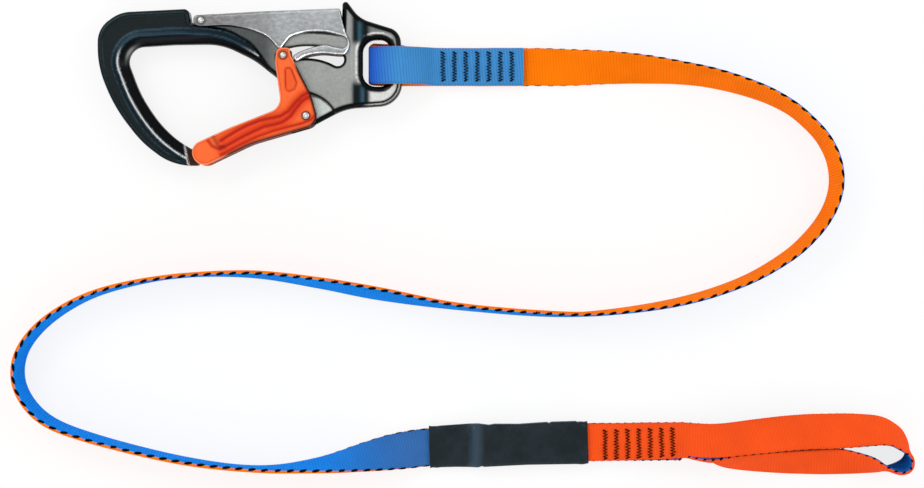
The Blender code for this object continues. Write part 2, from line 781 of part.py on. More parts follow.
def ribbon(name, points, mat):
    """Flat strap along points of x, y, height and roll."""
    curve = bpy.data.curves.new(name, "CURVE")
    curve.dimensions = "3D"
    curve.twist_mode = "Z_UP"
    curve.extrude = (STRAP_WIDTH - STRAP_THICK) / 2 * MM
    curve.bevel_depth = FLAT * MM
    curve.bevel_resolution = 1
    curve.use_fill_caps = True
    spline = curve.splines.new("POLY")
    spline.points.add(len(points) - 1)
    for point, (x, y, z, roll) in zip(spline.points, points):
        point.co = (x * MM, y * MM, z * MM, 1.0)
        point.tilt = math.radians(roll - 90)
    return place(bpy.data.objects.new(name, curve), mat)


def sleeve_frame():
    """Sleeve's start, direction and length."""
    run = SLEEVE_END - SLEEVE_START
    return SLEEVE_START, run.normalized(), run.length


def in_sleeve(along, side=0.0):
    """Point so far along the sleeve's line."""
    start, way, _ = sleeve_frame()
    return start + way * along + Vector((-way.y, way.x)) * side


SLEEVE_FLOOR = SLEEVE_WALL + GAP + FLAT


def build_run():
    """Free run of the strap, whose last stretch lies inside the sleeve."""
    route = [(x, y, edge_height(roll), roll) for x, y, roll in RUN_ROUTE]
    x, y, _, roll = route[-1]
    route[-1] = (x, y, SLEEVE_FLOOR, roll)
    inside = in_sleeve(SPLIT_IN_SLEEVE - GAP)
    route.append((inside.x, inside.y, SLEEVE_FLOOR, 180))
    points = smooth_route(route, 80)
    length = sum(math.dist(a[:3], b[:3]) for a, b in zip(points, points[1:]))
    print("length of the free run, mm:", round(length, 1))
    return ribbon("strap_run", points, WEB_ORANGE)


def stacked(past_sleeve):
    """Points of the lower and the upper layer so far past the sleeve, and how far they tilt."""
    _, _, length = sleeve_frame()
    share = (past_sleeve - STACK_START) / STACK_LENGTH
    tilt = STACK_TILT * share
    apart = STACK + STACK_SPREAD * share
    angle = math.radians(tilt)
    spot = in_sleeve(length + past_sleeve)
    height = edge_height(tilt)
    lower = (spot.x, spot.y, height, 180 - tilt)
    upper = (spot.x, spot.y + apart * math.sin(angle), height + apart * math.cos(angle), tilt)
    return lower, upper, tilt


def build_end_loop():
    """Strap from inside the sleeve, through the stitching, round the hand loop and back."""
    _, _, length = sleeve_frame()
    lower = []
    for along in (SPLIT_IN_SLEEVE, (length + SPLIT_IN_SLEEVE) / 2, length - 2.0):
        spot = in_sleeve(along)
        lower.append((spot.x, spot.y, SLEEVE_FLOOR, 180))
    upper = []
    for k in range(STACK_STEPS + 1):
        below, above, _ = stacked(STACK_START + STACK_LENGTH * k / STACK_STEPS)
        lower.append(below)
        upper.insert(0, above)
    for along in (length - 2.0, (length + TAIL_IN_SLEEVE) / 2, TAIL_IN_SLEEVE):
        spot = in_sleeve(along)
        upper.append((spot.x, spot.y, SLEEVE_FLOOR + STACK, 0))
    open_part = [lower[-1]] + LOOP_ROUTE + [upper[0]]
    count = 3 * (len(open_part) - 1) + 1
    points = lower[:-1] + smooth_route(open_part, count) + upper[1:]
    loop = curve_to_mesh(ribbon("end_loop_path", points, None), "strap_end_loop", WEB_ORANGE)
    for k in range(TACK_COUNT):
        below, _, tilt = stacked(LOOP_TACK_START + k * LOOP_TACK_PITCH)
        tack(f"loop_tack_{k + 1}", loop, below, tilt)
    return loop


def tack(name, strap, low_layer, tilt):
    """Bar of stitching through both layers of the strap, with the slit that it fills."""
    below = FLAT - TACK_RECESS
    above = STACK + FLAT + TACK_ABOVE
    spot = Matrix.Translation(low_layer[:3]) @ Matrix.Rotation(-math.radians(tilt), 4, "X")
    tall = Matrix.Translation((0.0, 0.0, (above - below) / 2))
    mesh_object(name, block(spot @ tall, (TACK_WIDTH, TACK_LENGTH, above + below)), THREAD)
    slit = block(spot, (TACK_WIDTH + 2 * GAP, TACK_LENGTH + 2 * GAP, 4 * STACK))
    subtract(strap, mesh_object(name + "_slit", slit, cutter=True))


def block(spot, size):
    """Rectangular block of that size with its middle at spot."""
    bm = bmesh.new()
    bmesh.ops.create_cube(bm, size=1.0)
    bmesh.ops.transform(bm, matrix=spot @ Matrix.Diagonal((*size, 1.0)), verts=bm.verts)
    return bm


def build_hook_eye():
    """Sewn eye: the strap goes under the ring's bar, folds back over it and lies on itself."""
    bar_x = HOOK_LENGTH / 2 - BAR_WIDTH / 2
    reach = BAR_LOOP_R + FLAT
    fold = EYE_FOLD_X + FLAT
    route = [
        (EYE_END_X, LYING),
        (104.0, LYING),
        (90.0, LYING),
        (79.0, LYING + 0.2),
        (bar_x + 3.0, HOOK_MID - reach + 0.1),
        (bar_x, HOOK_MID - reach),
        (bar_x - 4.4, HOOK_MID - reach + 0.5),
        (fold + 3.2, HOOK_MID - 4.5),
        (fold + 0.6, HOOK_MID - 2.0),
        (fold, HOOK_MID),
        (fold + 0.6, HOOK_MID + 2.0),
        (fold + 3.2, HOOK_MID + 4.5),
        (bar_x - 4.4, HOOK_MID + reach - 0.5),
        (bar_x, HOOK_MID + reach),
        (bar_x + 3.6, HOOK_MID + reach - 0.6),
        (78.5, HOOK_MID + 1.9),
        (84.5, LYING + STACK + 1.0),
        (90.0, LYING + STACK),
        (104.0, LYING + STACK),
        (EYE_END_X - 0.5, LYING + STACK),
    ]
    curve = bpy.data.curves.new("eye_path", "CURVE")
    curve.dimensions = "2D"
    curve.fill_mode = "NONE"
    curve.extrude = (STRAP_WIDTH - STRAP_THICK) / 2 * MM
    curve.bevel_depth = FLAT * MM
    curve.bevel_resolution = 1
    curve.use_fill_caps = True
    points = smooth_route(route, 3 * (len(route) - 1) + 1)
    spline = curve.splines.new("POLY")
    spline.points.add(len(points) - 1)
    for point, (x, z) in zip(spline.points, points):
        point.co = (x * MM, z * MM, 0.0, 1.0)
    path = bpy.data.objects.new("eye_path", curve)
    PARTS.objects.link(path)
    path.rotation_euler.x = math.radians(90)
    path.location.y = STRAP_Y * MM
    eye = curve_to_mesh(path, "strap_hook_eye", WEB_ORANGE)
    for k in range(TACK_COUNT):
        spot = (EYE_TACK_X + k * EYE_TACK_PITCH, STRAP_Y, LYING)
        tack(f"eye_tack_{k + 1}", eye, spot, 0.0)
    return eye


def sleeve_ring(along, half_wide, low, high, radius):
    """Rounded rectangle across the sleeve's line."""
    outline = rounded(
        [(-half_wide, low, radius), (half_wide, low, radius), (half_wide, high, radius), (-half_wide, high, radius)],
        step=math.radians(45),
    )
    made = []
    for spot in outline:
        base = in_sleeve(along, spot.x)
        made.append((base.x, base.y, spot.y))
    return made


def loft(name, rings, mat=None, cutter=False):
    """Closed solid through rings of equally many points."""
    bm = bmesh.new()
    loops = [[bm.verts.new(co) for co in ring] for ring in rings]
    for a, b in zip(loops, loops[1:]):
        for i in range(len(a)):
            j = (i + 1) % len(a)
            bm.faces.new((a[i], a[j], b[j], b[i]))
    bm.faces.new(loops[0])
    bm.faces.new(loops[-1])
    return mesh_object(name, bm, mat, cutter)


def build_sleeve():
    """Shrink sleeve, thicker where it covers the folded-back end of the strap."""
    _, _, length = sleeve_frame()
    low_in = SLEEVE_WALL
    single = SLEEVE_FLOOR + FLAT + GAP
    double = single + STACK
    half_in = STRAP_WIDTH / 2 + GAP
    inner = []
    outer = []
    step = SLEEVE_STEP
    stations = [
        (-5.0, single),
        (step - SLEEVE_OVERLAP_STEP, single),
        (step - 0.5, double),
        (length + 5.0, double),
    ]
    for along, top in stations:
        inner.append(sleeve_ring(along, half_in, low_in, top, 0.8))
    for (_, top), along in zip(stations, (0.0, step - SLEEVE_OVERLAP_STEP, step - 0.5, length)):
        outer.append(sleeve_ring(along, half_in + SLEEVE_WALL, 0.05, top + SLEEVE_WALL, 1.5))
    shell = loft("shrink_sleeve", outer, SLEEVE_BLACK)
    subtract(shell, loft("sleeve_inside", inner, cutter=True))
    return shell


def shade_round_pieces():
    """Smooth shading with sharp edges kept on the meshes."""
    for obj in PARTS.objects:
        if obj.type == "MESH" and not any(m.type == "SCREW" for m in obj.modifiers):
            obj.data.shade_smooth()
            obj.data.set_sharp_from_angle(angle=math.radians(35))


def main():
    """Build the whole tether."""
    build_body()
    build_lever()
    build_gate()
    build_pins()
    build_springs()
    build_hook_eye()
    build_run()
    build_end_loop()
    build_sleeve()
    shade_round_pieces()


main()
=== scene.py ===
"""Look of the safety tether: a double-action hook sewn into one end of a two-colour webbing strap.

The hook's outlines are in millimetres, as on a drawing, and the strap's routes are in metres.
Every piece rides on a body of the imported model.
"""

import enum
import logging
import math
from dataclasses import dataclass
from typing import Callable, Optional, Sequence, Union

import bmesh
import bpy
import numpy as np
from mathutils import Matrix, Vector
from mathutils.geometry import delaunay_2d_cdt


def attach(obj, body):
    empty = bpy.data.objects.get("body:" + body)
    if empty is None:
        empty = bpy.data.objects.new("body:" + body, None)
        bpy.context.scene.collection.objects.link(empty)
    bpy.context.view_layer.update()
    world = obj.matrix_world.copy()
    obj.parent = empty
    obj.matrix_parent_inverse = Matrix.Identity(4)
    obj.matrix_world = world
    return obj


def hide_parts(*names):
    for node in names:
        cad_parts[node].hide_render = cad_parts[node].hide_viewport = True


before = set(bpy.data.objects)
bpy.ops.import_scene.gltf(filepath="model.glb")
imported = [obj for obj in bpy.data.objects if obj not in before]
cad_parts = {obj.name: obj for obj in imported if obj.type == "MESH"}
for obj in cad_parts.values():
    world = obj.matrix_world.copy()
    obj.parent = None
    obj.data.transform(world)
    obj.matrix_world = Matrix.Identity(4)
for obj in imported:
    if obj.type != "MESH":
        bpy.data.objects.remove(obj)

LOG = logging.getLogger("tether")
MM = 0.001

Rows = np.ndarray
Colour = tuple[float, float, float]
Corner = tuple[float, float, float]
Line = Sequence[tuple[float, float]]
Faces = Sequence[Sequence[int]]
FaceRule = Callable[[Rows], "Surface"]


class Body(enum.Enum):
    """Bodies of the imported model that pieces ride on."""

    TETHER = "tether"
    HOOK = "hook"
    GATE = "gate"
    LEVER = "lever"


class Slot(enum.Enum):
    """Material slots of the record, named with each piece."""

    BLACK = "black_anodised_alloy"
    SATIN = "satin_steel"
    ORANGE = "orange_anodised_sheet"
    RIVET = "rivet_steel"
    WEBBING = "orange_webbing"
    THREAD = "dark_thread"
    SLEEVE = "black_shrink_sleeve"


# Nodes and their arithmetic


class Value:
    """A number that flows through a node tree; arithmetic on it adds Math nodes."""

    def __init__(self, graph: "Graph", socket: bpy.types.NodeSocket) -> None:
        """Wrap an output socket of the graph."""
        self.graph = graph
        self.socket = socket

    def math(self, operation: str, *others: "Operand") -> "Value":
        """Add a Math node.

        Args:
            operation: Name of the node's operation.
            others: Its other operands, in order.

        Returns:
            The node's result.
        """
        sockets = dict(enumerate((self, *others)))
        return self.graph.value("ShaderNodeMath", {"operation": operation}, sockets)

    def __add__(self, other: "Operand") -> "Value":
        """Sum."""
        return self.math("ADD", other)

    def __radd__(self, other: "Operand") -> "Value":
        """Sum with a number on the left."""
        return self.math("ADD", other)

    def __sub__(self, other: "Operand") -> "Value":
        """Difference."""
        return self.math("SUBTRACT", other)

    def __rsub__(self, other: float) -> "Value":
        """Difference with a number on the left."""
        return self.math("MULTIPLY", -1.0) + other

    def __mul__(self, other: "Operand") -> "Value":
        """Product."""
        return self.math("MULTIPLY", other)

    def __truediv__(self, other: "Operand") -> "Value":
        """Quotient."""
        return self.math("DIVIDE", other)

    def __mod__(self, other: "Operand") -> "Value":
        """Remainder that is never negative."""
        return self.math("FLOORED_MODULO", other)

    def wave(self) -> "Value":
        """Sine of the value in radians, moved into 0 to 1."""
        return self.math("SINE") * 0.5 + 0.5

    def between(self, low: float, high: float) -> "Value":
        """Smooth step from 0 at low to 1 at high.

        Args:
            low: Where the step starts.
            high: Where it ends.

        Returns:
            The step.
        """
        settings = {"interpolation_type": "SMOOTHSTEP"}
        sockets = {"Value": self, "From Min": low, "From Max": high}
        return self.graph.value("ShaderNodeMapRange", settings, sockets)


Operand = Union[Value, float]
Wire = Union[Value, bpy.types.NodeSocket, float, int, bool, tuple, bpy.types.ID]
Key = Union[int, str]
Settings = Optional[dict[Key, object]]


class Graph:
    """A node tree and the ways in which this file adds nodes to it."""

    def __init__(self, tree: bpy.types.NodeTree) -> None:
        """Take an empty tree."""
        self.tree = tree

    def node(self, kind: str, settings: Settings = None, sockets: Settings = None) -> bpy.types.Node:
        """Add one node.

        Args:
            kind: Blender's type of the node.
            settings: The node's own settings, made first.
            sockets: Values or links of its input sockets, by name or number.

        Returns:
            The node.
        """
        made = self.tree.nodes.new(kind)
        for name, setting in (settings or {}).items():
            setattr(made, name, setting)
        for key, wire in (sockets or {}).items():
            self.plug(made.inputs[key], wire)
        return made

    def plug(self, socket: bpy.types.NodeSocket, wire: Wire) -> None:
        """Link a wire to a socket, or set the socket to a constant."""
        if isinstance(wire, Value):
            wire = wire.socket
        if isinstance(wire, bpy.types.NodeSocket):
            self.tree.links.new(wire, socket)
        else:
            socket.default_value = wire

    def value(self, kind: str, settings: Settings = None, sockets: Settings = None, out: Key = 0) -> Value:
        """Add one node and return one of its outputs as a Value."""
        return Value(self, self.node(kind, settings, sockets).outputs[out])


class Paint(Graph):
    """Node tree of a material, with the few patterns that the finishes share."""

    def __init__(self, name: str) -> None:
        """Make a material with an empty tree."""
        self.material = bpy.data.materials.new(name)
        self.material.use_nodes = True
        super().__init__(self.material.node_tree)
        self.tree.nodes.clear()
        self.place = self.node("ShaderNodeTexCoord").outputs["Object"]

    def noise(self, scale: float, detail: float = 3.0, stretch: Optional[Colour] = None) -> Value:
        """Cloudy pattern on the piece's own coordinates.

        Args:
            scale: Clouds in a metre.
            detail: Number of finer layers.
            stretch: Scale along each axis, where the pattern is drawn out.

        Returns:
            The pattern, about 0.3 to 0.7.
        """
        where = self.place
        if stretch:
            where = self.node("ShaderNodeMapping", {}, {"Vector": where, "Scale": stretch}).outputs[0]
        sockets = {"Vector": where, "Scale": scale, "Detail": detail, "Roughness": 0.6}
        return self.value("ShaderNodeTexNoise", {"noise_dimensions": "3D"}, sockets)

    def number(self, name: str) -> Value:
        """Number that the piece carries at each of its points."""
        return self.value("ShaderNodeAttribute", {"attribute_name": name}, out="Fac")

    def colour(self, name: str) -> bpy.types.NodeSocket:
        """Colour that the piece carries at each of its points."""
        return self.node("ShaderNodeAttribute", {"attribute_name": name}).outputs["Color"]

    def mix(self, share: Operand, first: Wire, second: Wire) -> bpy.types.NodeSocket:
        """Mix two colours.

        Args:
            share: 0 for the first, 1 for the second.
            first: Colour or socket.
            second: Colour or socket.

        Returns:
            The mixed colour.
        """
        pair = [(*c, 1.0) if isinstance(c, tuple) else c for c in (first, second)]
        sockets = {0: share, 6: pair[0], 7: pair[1]}
        return self.node("ShaderNodeMix", {"data_type": "RGBA"}, sockets).outputs[2]

    def tint(self, colour: Wire, level: Value) -> bpy.types.NodeSocket:
        """Colour made lighter or darker by a level round 1."""
        settings = {"operation": "SCALE"}
        return self.node("ShaderNodeVectorMath", settings, {0: colour, "Scale": level}).outputs[0]

    def bump(self, height: Value, depth: float, strength: float = 1.0) -> bpy.types.NodeSocket:
        """Normal that a pattern of heights gives.

        Args:
            height: Pattern from 0 to 1.
            depth: Height in metres that 1 stands for.
            strength: Share of the effect.

        Returns:
            The normal.
        """
        sockets = {"Strength": strength, "Distance": depth, "Height": height}
        return self.node("ShaderNodeBump", {}, sockets).outputs[0]

    def finish(self, **sockets: Wire) -> bpy.types.Material:
        """Close the tree with a Principled shader.

        Args:
            sockets: Its inputs, with underscores for the spaces in their names.

        Returns:
            The material.
        """
        inputs = {}
        for name, wire in sockets.items():
            flat = isinstance(wire, tuple) and len(wire) == 3
            inputs[name.replace("_", " ")] = (*wire, 1.0) if flat else wire
        shader = self.node("ShaderNodeBsdfPrincipled", {}, inputs)
        self.node("ShaderNodeOutputMaterial", {}, {"Surface": shader.outputs[0]})
        return self.material


# Finishes


@dataclass(frozen=True)
class Finish:
    """A finish by name; each kind says how it is painted."""

    name: str

    def paint(self, paint: Paint) -> bpy.types.Material:
        """Fill the material's tree."""
        raise NotImplementedError

    def material(self) -> bpy.types.Material:
        """The finish's material, made once."""
        known = bpy.data.materials.get(self.name)
        return known or self.paint(Paint(self.name))


@dataclass(frozen=True)
class ShadedMetal(Finish):
    """Metal whose colour, with its painted highlights and shade, and gloss are carried by the piece, with
    grain and wear.
    """

    metallic: float = 1.0
    grain: float = 900.0
    grain_depth: float = 0.00002
    mottle: float = 0.1
    coat: float = 0.0
    specular: float = 0.5
    stretch: Colour = (1.0, 1.0, 1.0)

    def paint(self, paint: Paint) -> bpy.types.Material:
        """Fill the material's tree."""
        fine = paint.noise(self.grain, 2.0, self.stretch)
        broad = paint.noise(110.0, 4.0)
        level = 1.0 + (broad - 0.5) * (2.0 * self.mottle) + (fine - 0.5) * (4.0 * self.mottle)
        rough = paint.number("gloss") + (broad - 0.5) * 0.12 + (fine - 0.5) * 0.1
        return paint.finish(
            Base_Color=paint.tint(paint.colour("shade"), level),
            Metallic=self.metallic,
            Roughness=rough,
            Specular_IOR_Level=self.specular,
            Coat_Weight=self.coat,
            Coat_Roughness=0.18,
            Normal=paint.bump(fine, self.grain_depth),
        )


@dataclass(frozen=True)
class TurnedMetal(Finish):
    """Bare metal of small turned and wound pieces, with fine turning marks."""

    colour: Colour = (0.6, 0.6, 0.62)
    roughness: float = 0.28

    def paint(self, paint: Paint) -> bpy.types.Material:
        """Fill the material's tree."""
        marks = paint.noise(2600.0, 2.0, (1.0, 1.0, 0.15))
        stain = paint.noise(300.0, 3.0)
        colour = paint.mix(stain.between(0.35, 0.7), self.colour, tuple(c * 0.62 for c in self.colour))
        return paint.finish(
            Base_Color=colour,
            Metallic=1.0,
            Roughness=self.roughness + (marks - 0.5) * 0.2,
            Normal=paint.bump(marks, 0.000015),
        )


@dataclass(frozen=True)
class Webbing(Finish):
    """Two-colour strap: one colour on each face, meeting along both selvedges."""

    orange: Colour = (1.0, 0.2, 0.001)
    # The default blue, which the run takes, is painted lighter than the webbing's own blue, to make up for
    # the light that the run's upright stretches miss.
    blue: Colour = (0.001, 0.25, 0.85)
    # Past a given distance along the strap the blue turns darker. On the run this is where it lies flat into
    # the sleeve, and it keeps the webbing's blue without that painted light. On the eye it starts from round
    # the bar.
    end_blue: Colour = (0.04, 0.15, 0.42)
    end_from: float = 0.74
    end_over: float = 0.06
    wrap: float = 0.0145
    contrast: float = 0.12
    rib: float = 0.00135
    slant: float = 0.004
    yarn: float = 0.00055
    width: float = 0.0175

    def paint(self, paint: Paint) -> bpy.types.Material:
        """Fill the material's tree from the strap's own map: metres along it and round it."""
        where = paint.node("ShaderNodeUVMap", {"uv_map": "strap_map"}).outputs[0]
        split = paint.node("ShaderNodeSeparateXYZ", {}, {0: where})
        along, around = (Value(paint, split.outputs[k]) for k in (0, 1))
        fuzz = paint.noise(420.0, 2.0)
        broad = paint.noise(60.0, 2.0)
        ribs = ((along + around * self.slant) * (2 * math.pi / self.rib) + (fuzz - 0.5) * 1.6).wave()
        yarns = (around * (2 * math.pi * 2 * self.width / self.yarn) + ribs * 1.4).wave()
        edge = (around + self.wrap + (fuzz - 0.5) * 0.012) % 1.0
        side = edge.between(0.494 + 2 * self.wrap, 0.506 + 2 * self.wrap)
        # Share of the darker blue past the given distance along the strap.
        near_end = along.between(self.end_from, self.end_from + self.end_over)
        blue = paint.mix(near_end, self.blue, self.end_blue)
        face = paint.mix(side, self.orange, blue)
        shadow = 1.0 - (1.0 - ribs).between(0.35, 1.0) * self.contrast - (1.0 - yarns) * 0.07
        level = shadow * (1.0 + (broad - 0.5) * 0.3)
        return paint.finish(
            Base_Color=paint.tint(face, level),
            Roughness=0.85 - ribs * 0.1,
            Specular_IOR_Level=0.05,
            Normal=paint.bump(ribs * 0.7 + yarns * 0.3, 0.00012),
        )


@dataclass(frozen=True)
class Thread(Finish):
    """Sewing thread, with its twist."""

    colour: Colour = (0.003, 0.004, 0.008)

    def paint(self, paint: Paint) -> bpy.types.Material:
        """Fill the material's tree."""
        twist = paint.noise(3000.0, 1.0, (1.0, 0.4, 1.0))
        pale = tuple(c * 1.7 + 0.001 for c in self.colour)
        return paint.finish(
            Base_Color=paint.mix(twist.between(0.4, 0.75), self.colour, pale),
            Roughness=0.62 + (twist - 0.5) * 0.3,
            Specular_IOR_Level=0.0,
            Normal=paint.bump(twist, 0.00008),
        )


@dataclass(frozen=True)
class ShrunkTube(Finish):
    """Black shrink tube, satin with fine creases, with a painted highlight over the ridge and the step."""

    colour: Colour = (0.003, 0.009, 0.012)
    smeared: Colour = (0.009, 0.018, 0.024)
    # Painted highlight over the ridge before the step.
    ridge_highlight: Colour = (0.03, 0.055, 0.08)
    start: float = 0.0832
    step_from: float = 0.0195
    step_to: float = 0.0255

    def paint(self, paint: Paint) -> bpy.types.Material:
        """Fill the material's tree."""
        crease = paint.noise(240.0, 4.0, (1.6, 0.5, 1.0))
        smear = paint.noise(70.0, 3.0)
        split = paint.node("ShaderNodeSeparateXYZ", {}, {0: paint.place})
        along = Value(paint, split.outputs[0]) - self.start + (smear - 0.5) * 0.004
        # Painted highlight over the ridge and the step.
        rising = along.between(self.step_from - 0.002, self.step_from + 0.0015)
        on_ridge = rising * (1.0 - along.between(self.step_to - 0.003, self.step_to + 0.001))
        colour = paint.mix(smear.between(0.4, 0.7), self.colour, self.smeared)
        return paint.finish(
            Base_Color=paint.mix(on_ridge * 0.85, colour, self.ridge_highlight),
            Roughness=0.4 + (crease - 0.5) * 0.35 + (smear - 0.5) * 0.2,
            Specular_IOR_Level=0.2,
            Normal=paint.bump(crease, 0.0003, 0.6),
        )


@dataclass(frozen=True)
class PaleFloor(Finish):
    """Plain white sweep; what the camera sees of it past the shadows is white."""

    clear: float = 0.8

    def paint(self, paint: Paint) -> bpy.types.Material:
        """Fill the material's tree."""
        grain = paint.noise(30.0, 2.0)
        level = 0.94 + (grain - 0.5) * 0.004
        colour = paint.tint((1.0, 1.0, 1.0), level)
        dull = {"Base Color": colour, "Roughness": 0.9, "Specular IOR Level": 0.1}
        sheet = paint.node("ShaderNodeBsdfPrincipled", {}, dull)
        white = paint.node("ShaderNodeEmission", {}, {"Color": (1.0, 1.0, 1.0, 1.0), "Strength": 1.0})
        seen = Value(paint, paint.node("ShaderNodeLightPath").outputs["Is Camera Ray"]) * self.clear
        mixed = paint.node("ShaderNodeMixShader", {}, {0: seen, 1: sheet.outputs[0], 2: white.outputs[0]})
        paint.node("ShaderNodeOutputMaterial", {}, {"Surface": mixed.outputs[0]})
        return paint.material


BLACK_METAL = ShadedMetal("black_anodised_metal", metallic=0.92, mottle=0.12, coat=0.04)
SATIN_SHEET = ShadedMetal("satin_sheet", grain=700.0, mottle=0.24, stretch=(0.6, 1.0, 1.0))
ORANGE_SHEET = ShadedMetal(
    "orange_anodised_sheet_look", metallic=0.25, grain=1500.0, mottle=0.07, coat=0.03, specular=0.15
)
RIVET_METAL = ShadedMetal("rivet_metal", grain=2600.0, grain_depth=0.00001, mottle=0.08)
WIRE_METAL = TurnedMetal("spring_wire", (0.42, 0.42, 0.44), 0.3)
BUSH_METAL = TurnedMetal("bush_metal", (0.55, 0.36, 0.15), 0.35)
SPACER_METAL = TurnedMetal("spacer_metal", (0.5, 0.5, 0.52), 0.35)
RUN_WEBBING = Webbing("run_webbing")
EYE_WEBBING = Webbing(
    "eye_webbing",
    blue=(0.055, 0.27, 0.62),
    end_blue=(0.02, 0.11, 0.6),
    end_from=-0.092,
    end_over=0.016,
    contrast=0.2,
)
LOOP_WEBBING = Webbing("loop_webbing", orange=(0.96, 0.09, 0.012), blue=(0.006, 0.11, 0.42), contrast=0.08)
THREAD_BLACK = Thread("tack_thread")
THREAD_RED = Thread("loop_tack_thread", (0.03, 0.003, 0.002))
SLEEVE_TUBE = ShrunkTube("sleeve_tube")
FLOOR_WHITE = PaleFloor("pale_floor")


# Outlines, reliefs and meshes


def step_up(t: Rows) -> Rows:
    """Smooth step from 0 to 1 as t goes from 0 to 1."""
    t = np.clip(t, 0.0, 1.0)
    return t * t * (3.0 - 2.0 * t)


def edge_drop(depth: Rows, radius: float) -> Rows:
    """How far a rounded edge lies under its flat, so deep inside the outline."""
    near = radius - np.clip(depth, 0.0, radius)
    return radius - np.sqrt(np.maximum(radius**2 - near**2, 0.0))


def bell(away: Rows, width: float) -> Rows:
    """1 where away is 0, falling off on both sides over about that width."""
    return np.exp(-((away / width) ** 2))


def away_from(spots: Rows, centre: Sequence[float]) -> Rows:
    """Distance of each spot to one place."""
    return np.linalg.norm(spots - np.array(centre), axis=1)


def unit(rows: Rows) -> Rows:
    """Rows of the same direction and of length 1."""
    return rows / np.maximum(np.linalg.norm(rows, axis=1, keepdims=True), 1e-9)


def evenly(colour: Colour, spots: Rows) -> Rows:
    """One colour on every spot."""
    return np.tile(np.array(colour), (len(spots), 1))


def blend_rows(share: Rows, first: Rows, second: Union[Rows, Colour]) -> Rows:
    """Rows of colours moved towards another colour by a share at each row."""
    return first * (1.0 - share[:, None]) + np.asarray(second) * share[:, None]


def line_distance(spots: Rows, line: Rows, closed: bool = False) -> Rows:
    """Distance of each spot to a line of points.

    Args:
        spots: N places on the plane.
        line: Points of the line.
        closed: Whether the last point joins the first.

    Returns:
        N distances.
    """
    start = line if closed else line[:-1]
    run = (np.roll(line, -1, axis=0) if closed else line[1:]) - start
    length = np.maximum((run**2).sum(axis=1), 1e-12)
    best = np.full(len(spots), np.inf)
    for a, way, size in zip(start, run, length):
        away = spots - a
        share = np.clip(away @ way / size, 0.0, 1.0)
        best = np.minimum(best, ((away - share[:, None] * way) ** 2).sum(axis=1))
    return np.sqrt(best)


class Outline:
    """Closed line on the hook's plane, in millimetres."""

    def __init__(self, points: Sequence, marks: Sequence[int] = ()) -> None:
        """Take the points and, for a rounded outline, where each corner starts among them."""
        self.points = np.array([(p[0], p[1]) for p in points], float)
        self.marks = list(marks)

    @classmethod
    def rounded(cls, corners: Sequence[Corner], step: float = math.radians(6)) -> "Outline":
        """Outline of corners (x, y, radius), each radius limited by the sides that it joins.

        Args:
            corners: The corners in order.
            step: Largest turn between two points.

        Returns:
            The outline, with the start of each corner marked.
        """
        outline: list[Vector] = []
        marks: list[int] = []
        count = len(corners)
        for i, (x, y, radius) in enumerate(corners):
            marks.append(len(outline))
            corner = Vector((x, y))
            before = Vector(corners[i - 1][:2]) - corner
            after = Vector(corners[(i + 1) % count][:2]) - corner
            turn = math.pi - before.angle(after)
            if radius <= 0.0 or turn < 0.02:
                outline.append(corner)
                continue
            reach = min(radius * math.tan(turn / 2), 0.49 * before.length, 0.49 * after.length)
            radius = reach / math.tan(turn / 2)
            inward = (before.normalized() + after.normalized()).normalized()
            centre = corner + inward * math.hypot(radius, reach)
            start = corner + before.normalized() * reach - centre
            spin = -math.copysign(turn, before.cross(after))
            pieces = max(1, math.ceil(turn / step))
            for k in range(pieces + 1):
                c, s = math.cos(spin * k / pieces), math.sin(spin * k / pieces)
                outline.append(centre + Vector((start.x * c - start.y * s, start.x * s + start.y * c)))
        return cls(outline, marks)

    @classmethod
    def circle(cls, centre: Vector, radius: float, sides: int = 48) -> "Outline":
        """Round outline."""
        turns = [2 * math.pi * k / sides for k in range(sides)]
        return cls([(centre.x + radius * math.cos(a), centre.y + radius * math.sin(a)) for a in turns])

    def distance(self, spots: Rows) -> Rows:
        """Distance of each spot to the outline."""
        return line_distance(spots, self.points, closed=True)

    def inside(self, spots: Rows) -> Rows:
        """Whether each spot is inside, by the even-odd rule."""
        x, y = spots[:, 0], spots[:, 1]
        result = np.zeros(len(spots), bool)
        for (x0, y0), (x1, y1) in zip(self.points, np.roll(self.points, -1, axis=0)):
            if y0 != y1:
                crossing = (y0 > y) != (y1 > y)
                result ^= crossing & (x < (x1 - x0) * (y - y0) / (y1 - y0) + x0)
        return result

    def depth(self, spots: Rows) -> Rows:
        """Distance to the outline, positive inside."""
        return np.where(self.inside(spots), 1.0, -1.0) * self.distance(spots)

    def spaced(self, step: float) -> Rows:
        """The outline's points with more between them, none further apart than step."""
        made = []
        for a, b in zip(self.points, np.roll(self.points, -1, axis=0)):
            length = float(np.linalg.norm(b - a))
            if length < 1e-6:
                continue
            pieces = max(1, math.ceil(length / step))
            made += [a + (b - a) * k / pieces for k in range(pieces)]
        return np.array(made)

    def ring(self, inward: float, step: float) -> Rows:
        """Points at that distance inside the outline, none further apart than step.

        Args:
            inward: Distance, negative for outside.
            step: Largest gap between points.

        Returns:
            The points that keep that distance.
        """
        points = self.spaced(step)
        run = np.roll(points, -1, axis=0) - np.roll(points, 1, axis=0)
        normal = unit(np.stack([-run[:, 1], run[:, 0]], axis=1))
        ahead = np.roll(self.points, -1, axis=0)
        area = (self.points[:, 0] * ahead[:, 1] - ahead[:, 0] * self.points[:, 1]).sum()
        moved = points + normal * (inward if area > 0 else -inward)
        return moved[self.distance(moved) > abs(inward) * 0.97]


@dataclass
class Surface:
    """Height, colour and gloss of one face of a relief at some spots."""

    height: Rows
    shade: Rows
    gloss: Rows


